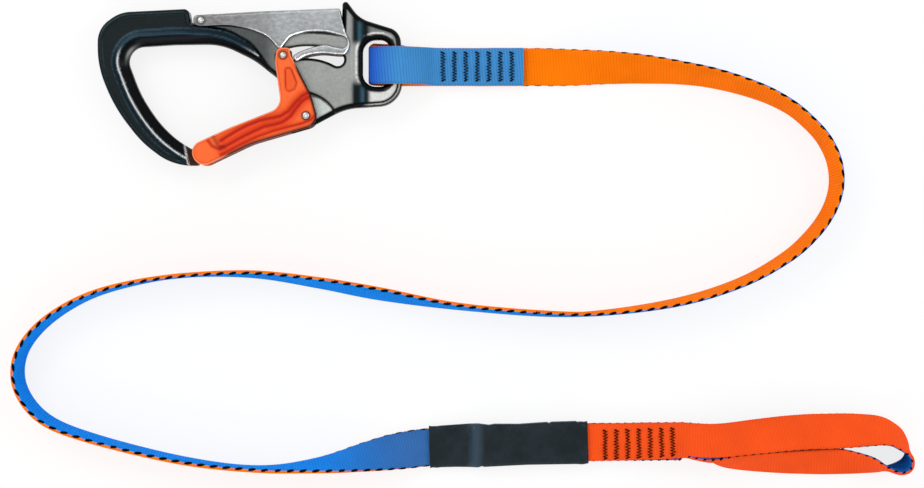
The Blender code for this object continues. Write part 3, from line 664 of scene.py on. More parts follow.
@dataclass
class Relief:
    """Plate inside an outline, whose faces are heights over the plane."""

    rim: Outline
    holes: Sequence[Outline]
    creases: Sequence[tuple[Outline, Sequence[float]]]
    radius: float
    grid: float = 0.75

    def spots(self) -> tuple[Rows, Rows]:
        """Places of the relief's points and the triangles between them.

        Returns:
            N places in millimetres and the triangles' three numbers each.
        """
        step = self.grid
        outlines = (self.rim, *self.holes)
        loops = [loop.spaced(step) for loop in outlines]
        places = [p for loop in loops for p in loop]
        edges = []
        first = 0
        for loop in loops:
            edges += [(first + k, first + (k + 1) % len(loop)) for k in range(len(loop))]
            first += len(loop)
        rounding = [self.radius * (1 - math.cos(a)) for a in (0.4, 0.8, 1.2, 1.57)]
        rings = [(loop, shift) for loop in outlines for shift in rounding]
        rings += [(loop, shift) for loop, shifts in self.creases for shift in shifts]
        extra = []
        for loop, shift in rings:
            inward = -shift if loop in self.holes else shift
            extra.append(loop.ring(inward, step))
        low, high = self.rim.points.min(axis=0), self.rim.points.max(axis=0)
        xs = np.arange(low[0], high[0], step)
        ys = np.arange(low[1], high[1], step * 0.866)
        field = np.array([(x + (step / 2 if j % 2 else 0.0), y) for j, y in enumerate(ys) for x in xs])
        cell = 1.6 / step
        taken = {(int(x * cell), int(y * cell)) for x, y in np.concatenate(extra)}
        free = [(int(x * cell), int(y * cell)) not in taken for x, y in field]
        extra.append(field[np.array(free)])
        inner = np.concatenate(extra)
        keep = self.rim.depth(inner) > 0.04
        for hole in self.holes:
            keep &= hole.depth(inner) < -0.04
        inner = inner[keep]
        points = [Vector(p) for p in places] + [Vector(p) for p in inner]
        found = delaunay_2d_cdt(points, edges, [], 0, 1e-4)
        flat = np.array([(p.x, p.y) for p in found[0]])
        triangles = np.array([t for t in found[2] if len(t) == 3])
        middle = flat[triangles].mean(axis=1)
        solid = self.rim.inside(middle)
        for hole in self.holes:
            solid &= ~hole.inside(middle)
        return flat, triangles[solid]

    def build(self, name: str, top: FaceRule, low: FaceRule) -> bpy.types.Object:
        """Make the closed plate.

        Args:
            name: Name of the object.
            top: Upper face over the spots.
            low: Lower face over the spots.

        Returns:
            The object, with its colours and gloss stored on its points.
        """
        flat, triangles = self.spots()
        faces = [top(flat), low(flat)]
        count = len(flat)
        places = np.concatenate([np.column_stack([flat, face.height]) for face in faces])
        sides: dict[tuple[int, int], int] = {}
        for a, b, c in triangles:
            for pair in ((a, b), (b, c), (c, a)):
                sides[pair] = sides.get(pair, 0) + 1
        walls = [(b, a, a + count, b + count) for a, b in sides if (b, a) not in sides]
        polygons = [tuple(t) for t in triangles]
        polygons += [(c + count, b + count, a + count) for a, b, c in triangles] + walls
        made = mesh_object(name, places * MM, polygons)
        colours = np.concatenate([np.column_stack([face.shade, np.ones(count)]) for face in faces])
        gloss = np.concatenate([face.gloss for face in faces])
        store_look(made, colours, gloss)
        return made


def store_look(obj: bpy.types.Object, colours: Rows, gloss: Rows) -> None:
    """Keep a colour and a gloss on each point of a mesh."""
    shade = obj.data.attributes.new("shade", "FLOAT_COLOR", "POINT")
    shade.data.foreach_set("color", colours.astype(np.float32).ravel())
    level = obj.data.attributes.new("gloss", "FLOAT", "POINT")
    level.data.foreach_set("value", gloss.astype(np.float32))


def even_look(obj: bpy.types.Object, colour: Colour, gloss: float) -> None:
    """Keep one colour and one gloss on all of a mesh."""
    count = len(obj.data.vertices)
    store_look(obj, np.tile((*colour, 1.0), (count, 1)), np.full(count, gloss))


def plain_object(name: str, data: bpy.types.ID) -> bpy.types.Object:
    """Linked object at the origin with that mesh, lamp or camera."""
    made = bpy.data.objects.new(name, data)
    bpy.context.scene.collection.objects.link(made)
    return made


def mesh_object(name: str, places: Rows, polygons: Faces, sharp: float = 38.0) -> bpy.types.Object:
    """Object of a closed mesh, its faces turned outwards.

    Args:
        name: Name of the object.
        places: Points in metres.
        polygons: Faces as numbers of points.
        sharp: Angle in degrees from which an edge stays sharp.

    Returns:
        The linked object.
    """
    mesh = bpy.data.meshes.new(name)
    mesh.from_pydata([tuple(p) for p in places], [], [tuple(int(i) for i in p) for p in polygons])
    bm = bmesh.new()
    bm.from_mesh(mesh)
    bmesh.ops.recalc_face_normals(bm, faces=bm.faces)
    bm.to_mesh(mesh)
    bm.free()
    mesh.shade_smooth()
    mesh.set_sharp_from_angle(angle=math.radians(sharp))
    return plain_object(name, mesh)


def joined(name: str, parts: Sequence[bpy.types.Object]) -> bpy.types.Object:
    """One object of several meshes that share their attributes.

    Args:
        name: Name of the result.
        parts: The objects, which are removed.

    Returns:
        The joined object.
    """
    whole = bmesh.new()
    for part in parts:
        whole.from_mesh(part.data)
    mesh = bpy.data.meshes.new(name)
    whole.to_mesh(mesh)
    whole.free()
    for part in parts:
        bpy.data.objects.remove(part, do_unlink=True)
    return plain_object(name, mesh)


def strip(name: str, outer: Rows, inner: Rows, low: float, high: float) -> bpy.types.Object:
    """Bent strip of sheet standing between two lines of equally many points.

    Args:
        name: Name of the object.
        outer: Line of its outer face, in millimetres.
        inner: Line of its inner face.
        low: Height of its lower end.
        high: Height of its upper end.

    Returns:
        The closed strip.
    """
    count = len(outer)
    edges = ((outer, low), (outer, high), (inner, high), (inner, low))
    rows = [np.column_stack([line, np.full(count, z)]) for line, z in edges]
    polygons = []
    for k in range(count - 1):
        for r in range(4):
            s = (r + 1) % 4
            polygons.append((r * count + k, r * count + k + 1, s * count + k + 1, s * count + k))
    polygons += [tuple(r * count for r in range(4)), tuple((r + 1) * count - 1 for r in range(4))]
    return mesh_object(name, np.concatenate(rows) * MM, polygons)


def turned(name: str, centre: Vector, profile: Line, sides: int = 40) -> bpy.types.Object:
    """Turned piece on an upright axis, from a profile (radius, height) between two ends on the axis.

    Args:
        name: Name of the object.
        centre: The axis, in millimetres.
        profile: The line that turns, without its two ends.
        sides: Faces round the axis.

    Returns:
        The closed piece.
    """
    places = [(centre.x, centre.y, profile[0][1])]
    for radius, height in profile[1:-1]:
        for k in range(sides):
            angle = 2 * math.pi * k / sides
            places.append((centre.x + radius * math.cos(angle), centre.y + radius * math.sin(angle), height))
    places.append((centre.x, centre.y, profile[-1][1]))
    rings = len(profile) - 2
    polygons = [(0, 1 + k, 1 + (k + 1) % sides) for k in range(sides)]
    for r in range(rings - 1):
        for k in range(sides):
            a, b = 1 + r * sides + k, 1 + r * sides + (k + 1) % sides
            polygons.append((a, a + sides, b + sides, b))
    last = 1 + (rings - 1) * sides
    polygons += [(last + (k + 1) % sides, last + k, last + sides) for k in range(sides)]
    return mesh_object(name, np.array(places) * MM, polygons)


# Dressing


def dress(obj: bpy.types.Object, finish: Finish, body: Body, slot: Slot, *nodes: str) -> None:
    """Give a piece its finish, its body and the CAD nodes that it stands for.

    Args:
        obj: The finished piece.
        finish: Its finish.
        body: The body that it rides on.
        slot: The record's material slot; not used.
        nodes: CAD nodes that it replaces.
    """
    obj.data.materials.clear()
    obj.data.materials.append(finish.material())
    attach(obj, body.value)
    if nodes:
        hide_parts(*nodes)
    LOG.info("%s: %d faces on %s", obj.name, len(obj.data.polygons), body.value)


def refinish(node: str, finish: Finish) -> None:
    """Give a CAD node, whose shape stays, a finer finish."""
    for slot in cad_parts[node].material_slots:
        slot.material = finish.material()
    LOG.info("%s: kept, with the finish %s", node, finish.name)


# The hook


@dataclass(frozen=True)
class HookSizes:
    """Sizes that the hook's pieces share, in millimetres and degrees."""

    half_length: float = 70.5
    middle: float = 8.6
    gate_pivot: Vector = Vector((26.3, -15.1))
    lever_pivot: Vector = Vector((-22.4, 29.1))
    follower: Vector = Vector((15.731, 12.87))
    follower_end: Vector = Vector((41.86, 20.328))
    follower_radius: float = 29.9
    follower_rest: float = -20.7
    travel: float = 48.0
    lever_inner: float = 4.3
    lever_outer: float = 5.8
    gate_inner: float = 6.1
    gate_outer: float = 7.6
    lever_travel: float = 8.0
    sheet: float = 1.5


HOOK = HookSizes()


def arc(centre: Vector, radius: float, start: float, end: float, pieces: int) -> list[Vector]:
    """Points on an arc, its angles in degrees clockwise from +Y.

    Args:
        centre: Middle of the arc.
        radius: Its radius.
        start: First angle.
        end: Last angle.
        pieces: Steps between them.

    Returns:
        The points.
    """
    turns = [math.radians(start + (end - start) * k / pieces) for k in range(pieces + 1)]
    return [Vector((centre.x + radius * math.sin(a), centre.y + radius * math.cos(a))) for a in turns]


@dataclass
class BodyPlaces:
    """Where spots lie on the body's face: their distances in millimetres, positive inside."""

    spots: Rows
    to_inner: Rows
    to_outer: Rows
    to_eye: Rows
    to_slot: Rows
    slope_width: Rows
    lowered: Rows
    pocket: Rows
    nose: Rows

    @property
    def x(self) -> Rows:
        """Place along the hook."""
        return self.spots[:, 0]

    @property
    def y(self) -> Rows:
        """Place across the hook."""
        return self.spots[:, 1]

    @property
    def from_ridge(self) -> Rows:
        """Distance outwards from the ridge above the bow's slope."""
        return self.to_inner - self.slope_width

    @property
    def in_pocket(self) -> Rows:
        """Share of the hub's pocket, 1 on its floor."""
        return step_up(self.pocket / 1.8) * (self.lowered > -3.0)

    @property
    def on_nose(self) -> Rows:
        """Share of the nose's low step, 1 past its line."""
        return step_up(self.nose / 0.4) * (self.y < -22.0)

    @property
    def to_edge(self) -> Rows:
        """Distance to the rounded edge, which takes in the inner one past the bow."""
        return np.minimum(self.to_outer, np.where(self.lowered > 0.0, self.to_inner, 99.0))


@dataclass
class HookBody:
    """Forged body: the bow with its ridge and slope, the plate, the pocket of the hub and the ring."""

    bow_half: float = 5.5
    plate_half: float = 4.0
    ring_half: float = 4.6
    hub_half: float = 2.2
    bow_rim: float = 1.6
    plate_rim: float = 2.3
    slope_width: float = 4.9
    slope_end_width: float = 3.0
    slope_fall: float = 3.3
    band_width: float = 2.7
    flat_depth: float = 0.7
    black: Colour = (0.002, 0.003, 0.004)
    # Painted reflection: the bow's flat, drawn as a dark grey on the black metal.
    bow_sheen: Colour = (0.014, 0.02, 0.021)
    # Painted reflection: a dim blue on the band below the ridge.
    band_sheen: Colour = (0.007, 0.015, 0.021)
    # Painted highlight: thin blue lines along the band, the ridge, the outer edge and the ring's slopes.
    line_glint: Colour = (0.03, 0.08, 0.12)
    # Dark green-black: painted shade on the slopes up to the ring, between the painted reflections of plate
    # and ring; it also draws a thin line inside the bow's outer edge.
    green_black: Colour = (0.006, 0.013, 0.014)
    # Painted reflection of the light on the plate's flat, drawn as grey on the black metal.
    plate_sheen: Colour = (0.35, 0.36, 0.35)
    # Painted reflection on the floor of the hub's pocket.
    hub_sheen: Colour = (0.6, 0.66, 0.63)
    # Painted reflection on the ring's upper flat.
    ring_sheen: Colour = (0.2, 0.215, 0.2)
    # Painted shade: the plate darker under the lever.
    recess_shade: Colour = (0.085, 0.095, 0.095)
    # Painted glint: white lines on the ridge, at the bow's inner corner, along the nose's step and by the
    # ring's lower edge.
    glint: Colour = (0.82, 0.86, 0.88)
    # Painted highlight: white on the ring's lower flat and along the crest round the eye.
    highlight_white: Colour = (0.75, 0.76, 0.74)
    nose_brown: Colour = (0.04, 0.018, 0.012)
    pocket_middle: Vector = Vector((24.3, -21.5))
    pocket_radius: float = 18.1
    nose_start: tuple[float, float] = (-30.6, -27.5)
    nose_way: tuple[float, float] = (0.974, 0.226)
    bow_corner: tuple[float, float] = (-54.2, 13.6)
    ring_start: float = 54.0
    inner_marks: tuple[int, int] = (23, 31)

    def rim(self) -> Outline:
        """Outer edge of the body."""
        half, (gx, gy), (lx, ly) = HOOK.half_length, HOOK.gate_pivot, HOOK.lever_pivot
        return Outline.rounded(
            [
                (-23.5, -38.0, 1.5),
                (-31.7, -38.0, 25.0),
                (-39.5, -35.3, 35.0),
                (20.5 - half, -27.4, 60.0),
                (7.7 - half, -11.0, 75.0),
                (-half, 8.2, 45.0),
                (-half, 25.5, 16.0),
                (10.3 - half, 33.0, 16.0),
                (lx - 6.0, 34.6, 2.5),
                (lx - 4.8, ly - 0.8, 0.8),
                (lx - 2.8, ly - 1.0, 0.8),
                (lx - 2.6, ly + 2.6, 1.6),
                (lx + 2.2, ly + 2.6, 1.6),
                (lx + 5.4, ly - 0.3, 2.5),
                (lx + 64.9, ly - 5.7, 1.5),
                (lx + 65.4, 40.9, 1.5),
                (51.0, 30.2, 14.0),
                (half - 0.8, 24.4, 7.0),
                (half, 12.0, 0.0),
                (half, -9.8, 11.0),
                (gx + 18.0, gy + 3.5, 25.0),
                (gx - 1.6, gy - 6.9, 5.5),
                (gx - 7.0, gy + 2.5, 6.0),
                (gx - 7.6, gy + 12.8, 8.0),
                (2.0, 10.9, 35.0),
                (-13.5, 18.4, 30.0),
                (-35.0, 18.1, 60.0),
                (11.4 - half, 16.6, 7.0),
                (19.7 - half, -5.7, 70.0),
                (28.2 - half, -18.2, 50.0),
                (-34.3, -26.1, 50.0),
                (-23.5, -32.5, 1.5),
            ],
            step=math.radians(2.5),
        )

    def eye(self) -> Outline:
        """Hole in the ring that the strap passes through."""
        right = HOOK.half_length - 5.6
        return Outline.rounded([(52.3, -1.4, 7.5), (52.3, 20.5, 7.5), (right, 20.5, 4.5), (right, -1.4, 4.5)])

    def slot(self) -> Outline:
        """Arc slot that the follower's roller runs in."""
        wide, radius = 3.0, HOOK.follower_radius
        start = HOOK.follower_rest - 0.57
        end = HOOK.follower_rest + HOOK.travel + 1.5
        first, last = arc(HOOK.gate_pivot, radius, start, end, 1)
        points = arc(HOOK.gate_pivot, radius + wide, start, end, 24)
        points += arc(last, wide, end, end + 180, 12)[1:-1]
        points += arc(HOOK.gate_pivot, radius - wide, end, start, 24)
        points += arc(first, wide, start + 180, start + 360, 12)[1:-1]
        return Outline(points)

    def lowered(self) -> Outline:
        """Everything that lies lower than the bow's face: under the lever, the plate and the ring."""
        lx, ly = HOOK.lever_pivot
        return Outline.rounded(
            [
                (lx - 4.9, 60.0, 0.0),
                (lx - 4.9, ly - 2.6, 3.0),
                (-10.5, 24.0, 12.0),
                (0.5, 18.0, 15.0),
                (6.5, 9.5, 15.0),
                (13.0, 0.0, 4.0),
                (13.0, -60.0, 0.0),
                (90.0, -60.0, 0.0),
                (90.0, 60.0, 0.0),
            ]
        )

    def places(self, spots: Rows) -> BodyPlaces:
        """Distances of spots on the face to all that shapes it there."""
        rim = self.rim()
        first, last = (rim.marks[mark] for mark in self.inner_marks)
        outer = np.concatenate([rim.points[last:], rim.points[: first + 1]])
        return BodyPlaces(
            spots,
            to_inner=line_distance(spots, rim.points[first : last + 1]),
            to_outer=line_distance(spots, outer),
            to_eye=self.eye().distance(spots),
            to_slot=self.slot().distance(spots),
            slope_width=np.interp(spots[:, 0], [-30.0, 3.0], [self.slope_width, self.slope_end_width]),
            lowered=self.lowered().depth(spots),
            pocket=self.pocket_radius - away_from(spots, self.pocket_middle),
            nose=(spots - np.array(self.nose_start)) @ np.array(self.nose_way),
        )

    def level(self, at: BodyPlaces) -> Rows:
        """Height of the face over the hook's middle."""
        raised = np.maximum(
            1.0 - step_up((at.to_outer - 1.9) / 0.8),
            1.0 - step_up((at.from_ridge - 0.3) / (self.band_width - 0.3)),
        )
        flat = self.bow_half - self.flat_depth * (1.0 - raised)
        fall = np.clip(1.0 - at.to_inner / at.slope_width, 0.0, 1.0)
        bow = np.where(at.from_ridge < 0.0, self.bow_half - self.slope_fall * fall**1.2, flat)
        rise = np.interp(at.x, [46.6, 48.2, 50.5, 53.2], [0.0, -0.45, -0.35, 1.0])
        plate = self.plate_half + rise * np.where(rise > 0, self.ring_half - self.plate_half, 1.0)
        share = step_up(at.lowered / 1.5)
        height = bow * (1.0 - share) + plate * share
        height = height * (1.0 - at.in_pocket) + self.hub_half * at.in_pocket
        height = np.minimum(height, self.bow_half - 0.8 * at.on_nose)
        height = height + 0.28 * bell(at.to_eye - 2.5, 0.55)
        rim_radius = np.where(at.lowered > 0.0, self.plate_rim, self.bow_rim)
        rim_radius = np.minimum(rim_radius, height - 0.35)
        height = height - edge_drop(at.to_edge, rim_radius) - edge_drop(at.to_inner, 0.9)
        height = height - edge_drop(at.to_eye, 1.9) - edge_drop(at.to_slot, 1.1)
        return np.maximum(height, 0.3)

    def bow_shade(self, at: BodyPlaces) -> Rows:
        """Colour of the bow: painted reflections on its flat and band, painted highlights on the ridge, at
        the inner corner and by the outer edge, the slope, the outer edge, and the nose with a painted
        highlight along its step.
        """
        band = step_up((self.band_width + 0.2 - at.from_ridge) / 0.5)
        # Painted reflections on the bow's flat and on its band.
        shade = blend_rows(band, evenly(self.bow_sheen, at.spots), self.band_sheen)
        # Painted highlight: a thin line along the band's outer side.
        shade = blend_rows(bell(at.from_ridge - self.band_width, 0.22) * 0.55, shade, self.line_glint)
        shade = blend_rows(step_up(-at.from_ridge / 0.5), shade, self.black)
        # Painted glint on the ridge: white on the lower part of the bow, blue higher up.
        low_bow = step_up((18.0 - at.y) / 7.0)
        ridge = blend_rows(low_bow, evenly(self.line_glint, at.spots), self.glint)
        shade = blend_rows(bell(at.from_ridge, 0.3), shade, ridge)
        # Painted glint at the bow's inner corner.
        corner = bell(away_from(at.spots, self.bow_corner), 3.0)
        shade = blend_rows(corner * bell(at.to_inner - 1.0, 0.7) * 0.7, shade, self.glint)
        shade = blend_rows(1.0 - step_up((at.to_outer - 0.9) / 0.5), shade, self.black)
        # Painted highlight: a thin blue line by the outer edge.
        shade = blend_rows(bell(at.to_outer - 1.25, 0.22) * 0.6, shade, self.line_glint)
        shade = blend_rows(bell(at.to_outer - 2.3, 0.3) * 0.6, shade, self.green_black)
        shade = blend_rows(at.on_nose, shade, self.nose_brown)
        # Painted glint along the nose's step.
        return blend_rows(bell(at.nose, 0.3) * (at.y < -26.0), shade, self.glint)

    def plate_shade(self, at: BodyPlaces) -> Rows:
        """Colour of the plate: painted reflections on its flats, the pocket and the ring, painted shade in
        the recess under the lever and on the ring's slopes, painted highlights on the ring and round the eye,
        and every dark rim.
        """
        x, y = at.x, at.y
        on_ring = step_up((x - self.ring_start) / 2.0)
        below = 1.0 - step_up((y - 6.0) / 6.0)
        # Painted shade: the plate grows darker under the lever.
        recess = 1.0 - step_up((x - 6.0) / 12.0)
        # Painted reflection on the plate's flat, and below on the floor of the hub's pocket.
        grey = blend_rows(recess, evenly(self.plate_sheen, at.spots), self.recess_shade)
        grey = blend_rows(at.in_pocket, grey, self.hub_sheen)
        grey = blend_rows(bell(at.pocket - 0.7, 0.62), grey, self.black)
        # Painted highlight on the ring's lower flat.
        grey = blend_rows(below * on_ring, grey, self.highlight_white)
        # Painted reflection on the ring's upper flat, weaker towards its right end.
        above = step_up((y - 11.0) / 6.0) * on_ring * (1.0 - 0.6 * step_up((x - 60.0) / 7.0))
        grey = blend_rows(above, grey, self.ring_sheen)
        # Painted shade on the slopes up to the ring, above and below the eye, with a painted highlight along
        # their middle.
        beside = step_up((np.abs(y - 9.6) - 7.0) / 4.0)
        slope = step_up((x - 46.2) / 2.4) * (1.0 - step_up((x - 54.2) / 2.6)) * beside
        grey = blend_rows(slope, grey, self.green_black)
        grey = blend_rows(bell(x - 50.9 - 1.4 * below, 0.95) * slope, grey, self.line_glint)
        grey = blend_rows(1.0 - step_up(self.from_rims(at) / 0.5), grey, self.black)
        # Painted highlight along the crest round the eye.
        beside_eye = (1.0 - step_up((x - 50.5) / 2.5)) * (1.0 - beside)
        lit = np.clip(beside_eye + step_up((y - 20.0) / 3.0) * on_ring, 0.0, 1.0)
        grey = blend_rows(bell(at.to_eye - 2.8, 0.42) * lit, grey, self.highlight_white)
        # Painted glint by the ring's lower outer edge.
        low_ring = step_up((x - 52.0) / 5.0) * (1.0 - step_up((y - 2.0) / 6.0))
        return blend_rows(bell(at.to_outer - 0.95, 0.22) * low_ring * 0.6, grey, self.glint)

    def from_rims(self, at: BodyPlaces) -> Rows:
        """Distance from the plate's dark rims, large where the lever covers them."""
        covered = step_up((at.y - 14.0) / 1.5) * step_up((at.x + 18.0) / 3.0)
        covered = covered * (1.0 - step_up((at.x - 41.0) / 2.0))
        over = (away_from(at.spots, HOOK.gate_pivot) > HOOK.follower_radius) & (at.x < 41.0)
        outside = np.minimum(at.to_edge, at.to_inner) + 9.0 * covered - 2.1
        return np.minimum(np.minimum(outside, at.to_slot + 9.0 * over - 1.0), at.to_eye - 2.4)

    def face(self, spots: Rows) -> Surface:
        """Upper face over the spots."""
        at = self.places(spots)
        bow = blend_rows((at.lowered > 0.1) * 1.0, self.bow_shade(at), self.black)
        shade = blend_rows(step_up((at.lowered - 1.3) / 0.4), bow, self.plate_shade(at))
        gloss = 0.24 + 0.2 * step_up((shade.max(axis=1) - 0.012) / 0.03)
        return Surface(HOOK.middle + self.level(at), shade, gloss)

    def back(self, spots: Rows) -> Surface:
        """Lower face: the upper one seen in a mirror at the hook's middle."""
        above = self.face(spots)
        return Surface(2 * HOOK.middle - above.height, above.shade, above.gloss)

    def build(self) -> None:
        """Make the body and dress it."""
        rim = self.rim()
        pivots = [Outline.circle(HOOK.gate_pivot, 2.8, 32), Outline.circle(HOOK.lever_pivot, 1.5, 24)]
        relief = Relief(
            rim,
            [self.eye(), self.slot(), *pivots],
            [
                (rim, (2.0, 2.4, 2.9, 4.6, 4.9, 5.2, 7.6)),
                (self.lowered(), (0.0, 0.7, 1.5)),
                (self.eye(), (-2.5,)),
                (Outline.circle(self.pocket_middle, self.pocket_radius), (-0.1, 0.3, 0.7, 1.1, 1.5)),
            ],
            self.bow_rim,
            0.7,
        )
        made = relief.build("hook_forging", self.face, self.back)
        dress(made, BLACK_METAL, Body.HOOK, Slot.BLACK, "hook_body")


@dataclass
class Cheeks:
    """Folded sheet: a cheek on each face of the body and a web between them along one edge."""

    name: str
    inner: float
    outer: float
    finish: Finish
    body: Body
    slot: Slot
    node: str
    # Colour of the web; on the gate it is painted shade.
    web_colour_and_shade: Colour
    edge: float = 0.8

    def rim(self) -> Outline:
        """Outline of one cheek."""
        raise NotImplementedError

    def holes(self) -> list[Outline]:
        """Holes for the rivets."""
        raise NotImplementedError

    def bend(self) -> tuple[Rows, Rows]:
        """Outer and inner line of the web."""
        raise NotImplementedError

    def relief(self, spots: Rows) -> Surface:
        """Height over the cheek's flat, colour and gloss."""
        raise NotImplementedError

    def creases(self) -> list[tuple[Outline, Sequence[float]]]:
        """Outlines that the relief's points follow, with their distances."""
        return []

    def outside(self, spots: Rows) -> Surface:
        """Outer face of the upper cheek."""
        face = self.relief(spots)
        rim = self.rim()
        drop = edge_drop(rim.distance(spots), self.edge)
        bend = line_distance(spots, self.bend()[0])
        drop = np.maximum(drop, edge_drop(bend, HOOK.sheet))
        height = np.maximum(self.outer + face.height - drop, self.inner + 0.02)
        return Surface(HOOK.middle + height, face.shade, face.gloss)

    def inside(self, spots: Rows) -> Surface:
        """Inner face of the upper cheek."""
        face = self.relief(spots)
        # Painted shade: the inner face takes the outer face's colours at 0.7 of their level.
        return Surface(np.full(len(spots), HOOK.middle + self.inner), face.shade * 0.7, face.gloss)

    def build(self) -> None:
        """Make both cheeks and the web, and dress them as one piece."""
        relief = Relief(self.rim(), self.holes(), self.creases(), self.edge, 0.6)
        upper = relief.build(self.name + "_upper", self.outside, self.inside)
        lower = upper.copy()
        lower.data = upper.data.copy()
        for point in lower.data.vertices:
            point.co.z = 2 * HOOK.middle * MM - point.co.z
        lower.data.flip_normals()
        outer, inner = self.bend()
        reach = self.inner + 0.02
        web = strip(self.name + "_web", outer, inner, HOOK.middle - reach, HOOK.middle + reach)
        even_look(web, self.web_colour_and_shade, 0.5)
        whole = joined(self.name, [upper, lower, web])
        dress(whole, self.finish, self.body, self.slot, self.node)


@dataclass
class PalmLever(Cheeks):
    """Palm lever with its rolled lower edge and the slot that the follower runs in."""

    satin: Colour = (0.27, 0.27, 0.275)
    cool: Colour = (0.42, 0.44, 0.45)
    # Painted shade: in the groove inside the rolled edge, on the edge's outermost line and in a ring round
    # the pivot rivet.
    dark: Colour = (0.12, 0.12, 0.12)
    # Painted highlight along the rolled bead.
    bead_highlight: Colour = (0.92, 0.92, 0.94)
    bead: float = 0.24
    bead_width: float = 1.2

    def rim(self) -> Outline:
        """Outline of one cheek."""
        (lx, ly), (px, py), (ex, ey) = HOOK.lever_pivot, HOOK.follower, HOOK.follower_end
        corners = [
            (lx - 3.5, ly + 2.4, 1.8),
            (lx + 27.8, ly + 4.3, 60.0),
            (ex - 0.2, ly + 5.7, 0.8),
            (ex + 1.8, ey + 5.7, 20.0),
            (ex + 5.4, ey - 2.7, 4.5),
            (ex + 2.8, ey - 7.3, 2.5),
            (ex - 1.6, ey - 7.2, 10.0),
            (ex - 8.4, ey - 6.5, 20.0),
            (px + 10.6, py - 0.1, 12.0),
            (px + 5.5, py - 3.4, 1.0),
            (px + 4.3, py - 0.2, 1.0),
        ]
        corners += self.slot_floor()
        corners += [
            (ex - 3.4, ey - 3.2, 20.0),
            (ex + 3.2, ey - 4.3, 2.4),
            (ex + 3.3, ey + 0.9, 2.8),
            (ex - 6.8, ey + 3.6, 20.0),
            (px + 10.8, py + 10.9, 20.0),
            (px + 3.3, py + 8.6, 6.0),
            (px - 0.9, py + 3.0, 1.0),
            (px - 2.7, py + 3.3, 1.0),
            (px - 7.5, py + 8.8, 12.0),
            (lx + 22.6, ly - 4.1, 20.0),
            (lx + 13.5, ly - 2.1, 30.0),
            (lx - 0.5, ly - 2.7, 2.5),
            (lx - 3.6, ly - 1.8, 2.0),
        ]
        return Outline.rounded(corners)

    def slot_floor(self) -> list[Corner]:
        """Lower edge of the slot: the follower's path in the lever's frame, lowered by its room."""
        made = []
        for k in range(2, 7):
            here, ahead = (self.follower(HOOK.travel * k / 8 + more) for more in (0.0, 0.5))
            along = (ahead - here).normalized()
            made.append((here.x + along.y * 1.6, here.y - along.x * 1.6, 12.0))
        return made

    def follower(self, swing: float) -> Vector:
        """Place of the follower in the lever's frame at a swing of the gate in degrees."""
        turn = math.radians(swing * HOOK.lever_travel / HOOK.travel)
        on_gate = arc(HOOK.gate_pivot, HOOK.follower_radius, HOOK.follower_rest + swing, 0.0, 1)[0]
        arm = on_gate - HOOK.lever_pivot
        c, s = math.cos(turn), math.sin(turn)
        return HOOK.lever_pivot + Vector((arm.x * c - arm.y * s, arm.x * s + arm.y * c))

    def holes(self) -> list[Outline]:
        """Hole for the pivot rivet."""
        return [Outline.circle(HOOK.lever_pivot, 1.35, 24)]

    def bend(self) -> tuple[Rows, Rows]:
        """Outer and inner line of the web along the top."""
        rim = self.rim()
        top = rim.points[rim.marks[1] - 1 : rim.marks[2] + 1].copy()
        share = (HOOK.lever_pivot.x + 6.0 - top[0][0]) / (top[1][0] - top[0][0])
        top[0] += (top[1] - top[0]) * share
        return top, top - np.array((0.0, HOOK.sheet))

    def creases(self) -> list[tuple[Outline, Sequence[float]]]:
        """The rim, followed on both sides of the rolled edge."""
        return [(self.rim(), (1.2, 1.6))]

    def relief(self, spots: Rows) -> Surface:
        """Height over the cheek's flat, colour and gloss."""
        x = spots[:, 0]
        rim = self.rim()
        rolled = np.concatenate([rim.points[rim.marks[3] + 2 :], rim.points[: rim.marks[0] + 1]])
        away = line_distance(spots, rolled)
        rolling = step_up((x + 4.0) / 12.0)
        bead = bell(away - 0.55, 0.36) * rolling
        groove = bell(away - self.bead_width, 0.25) * rolling
        height = self.bead * bead - 0.12 * groove
        shade = blend_rows(step_up((x + 5.0) / 25.0), evenly(self.satin, spots), self.cool)
        # Painted shade in the groove inside the rolled edge and on the edge's outermost line.
        shade = blend_rows(groove * 0.35, shade, self.dark)
        shade = blend_rows(1.0 - step_up((away - 0.05) / 0.15), shade, self.dark)
        # Painted highlight on the rolled bead.
        shade = blend_rows(bead, shade, self.bead_highlight)
        # Painted shade in a ring round the pivot rivet's head.
        ring = away_from(spots, HOOK.lever_pivot)
        shade = blend_rows(bell(ring - 2.1, 0.4) * 0.75, shade, self.dark)
        return Surface(height, shade, np.full(len(spots), 0.36) - 0.12 * bead)


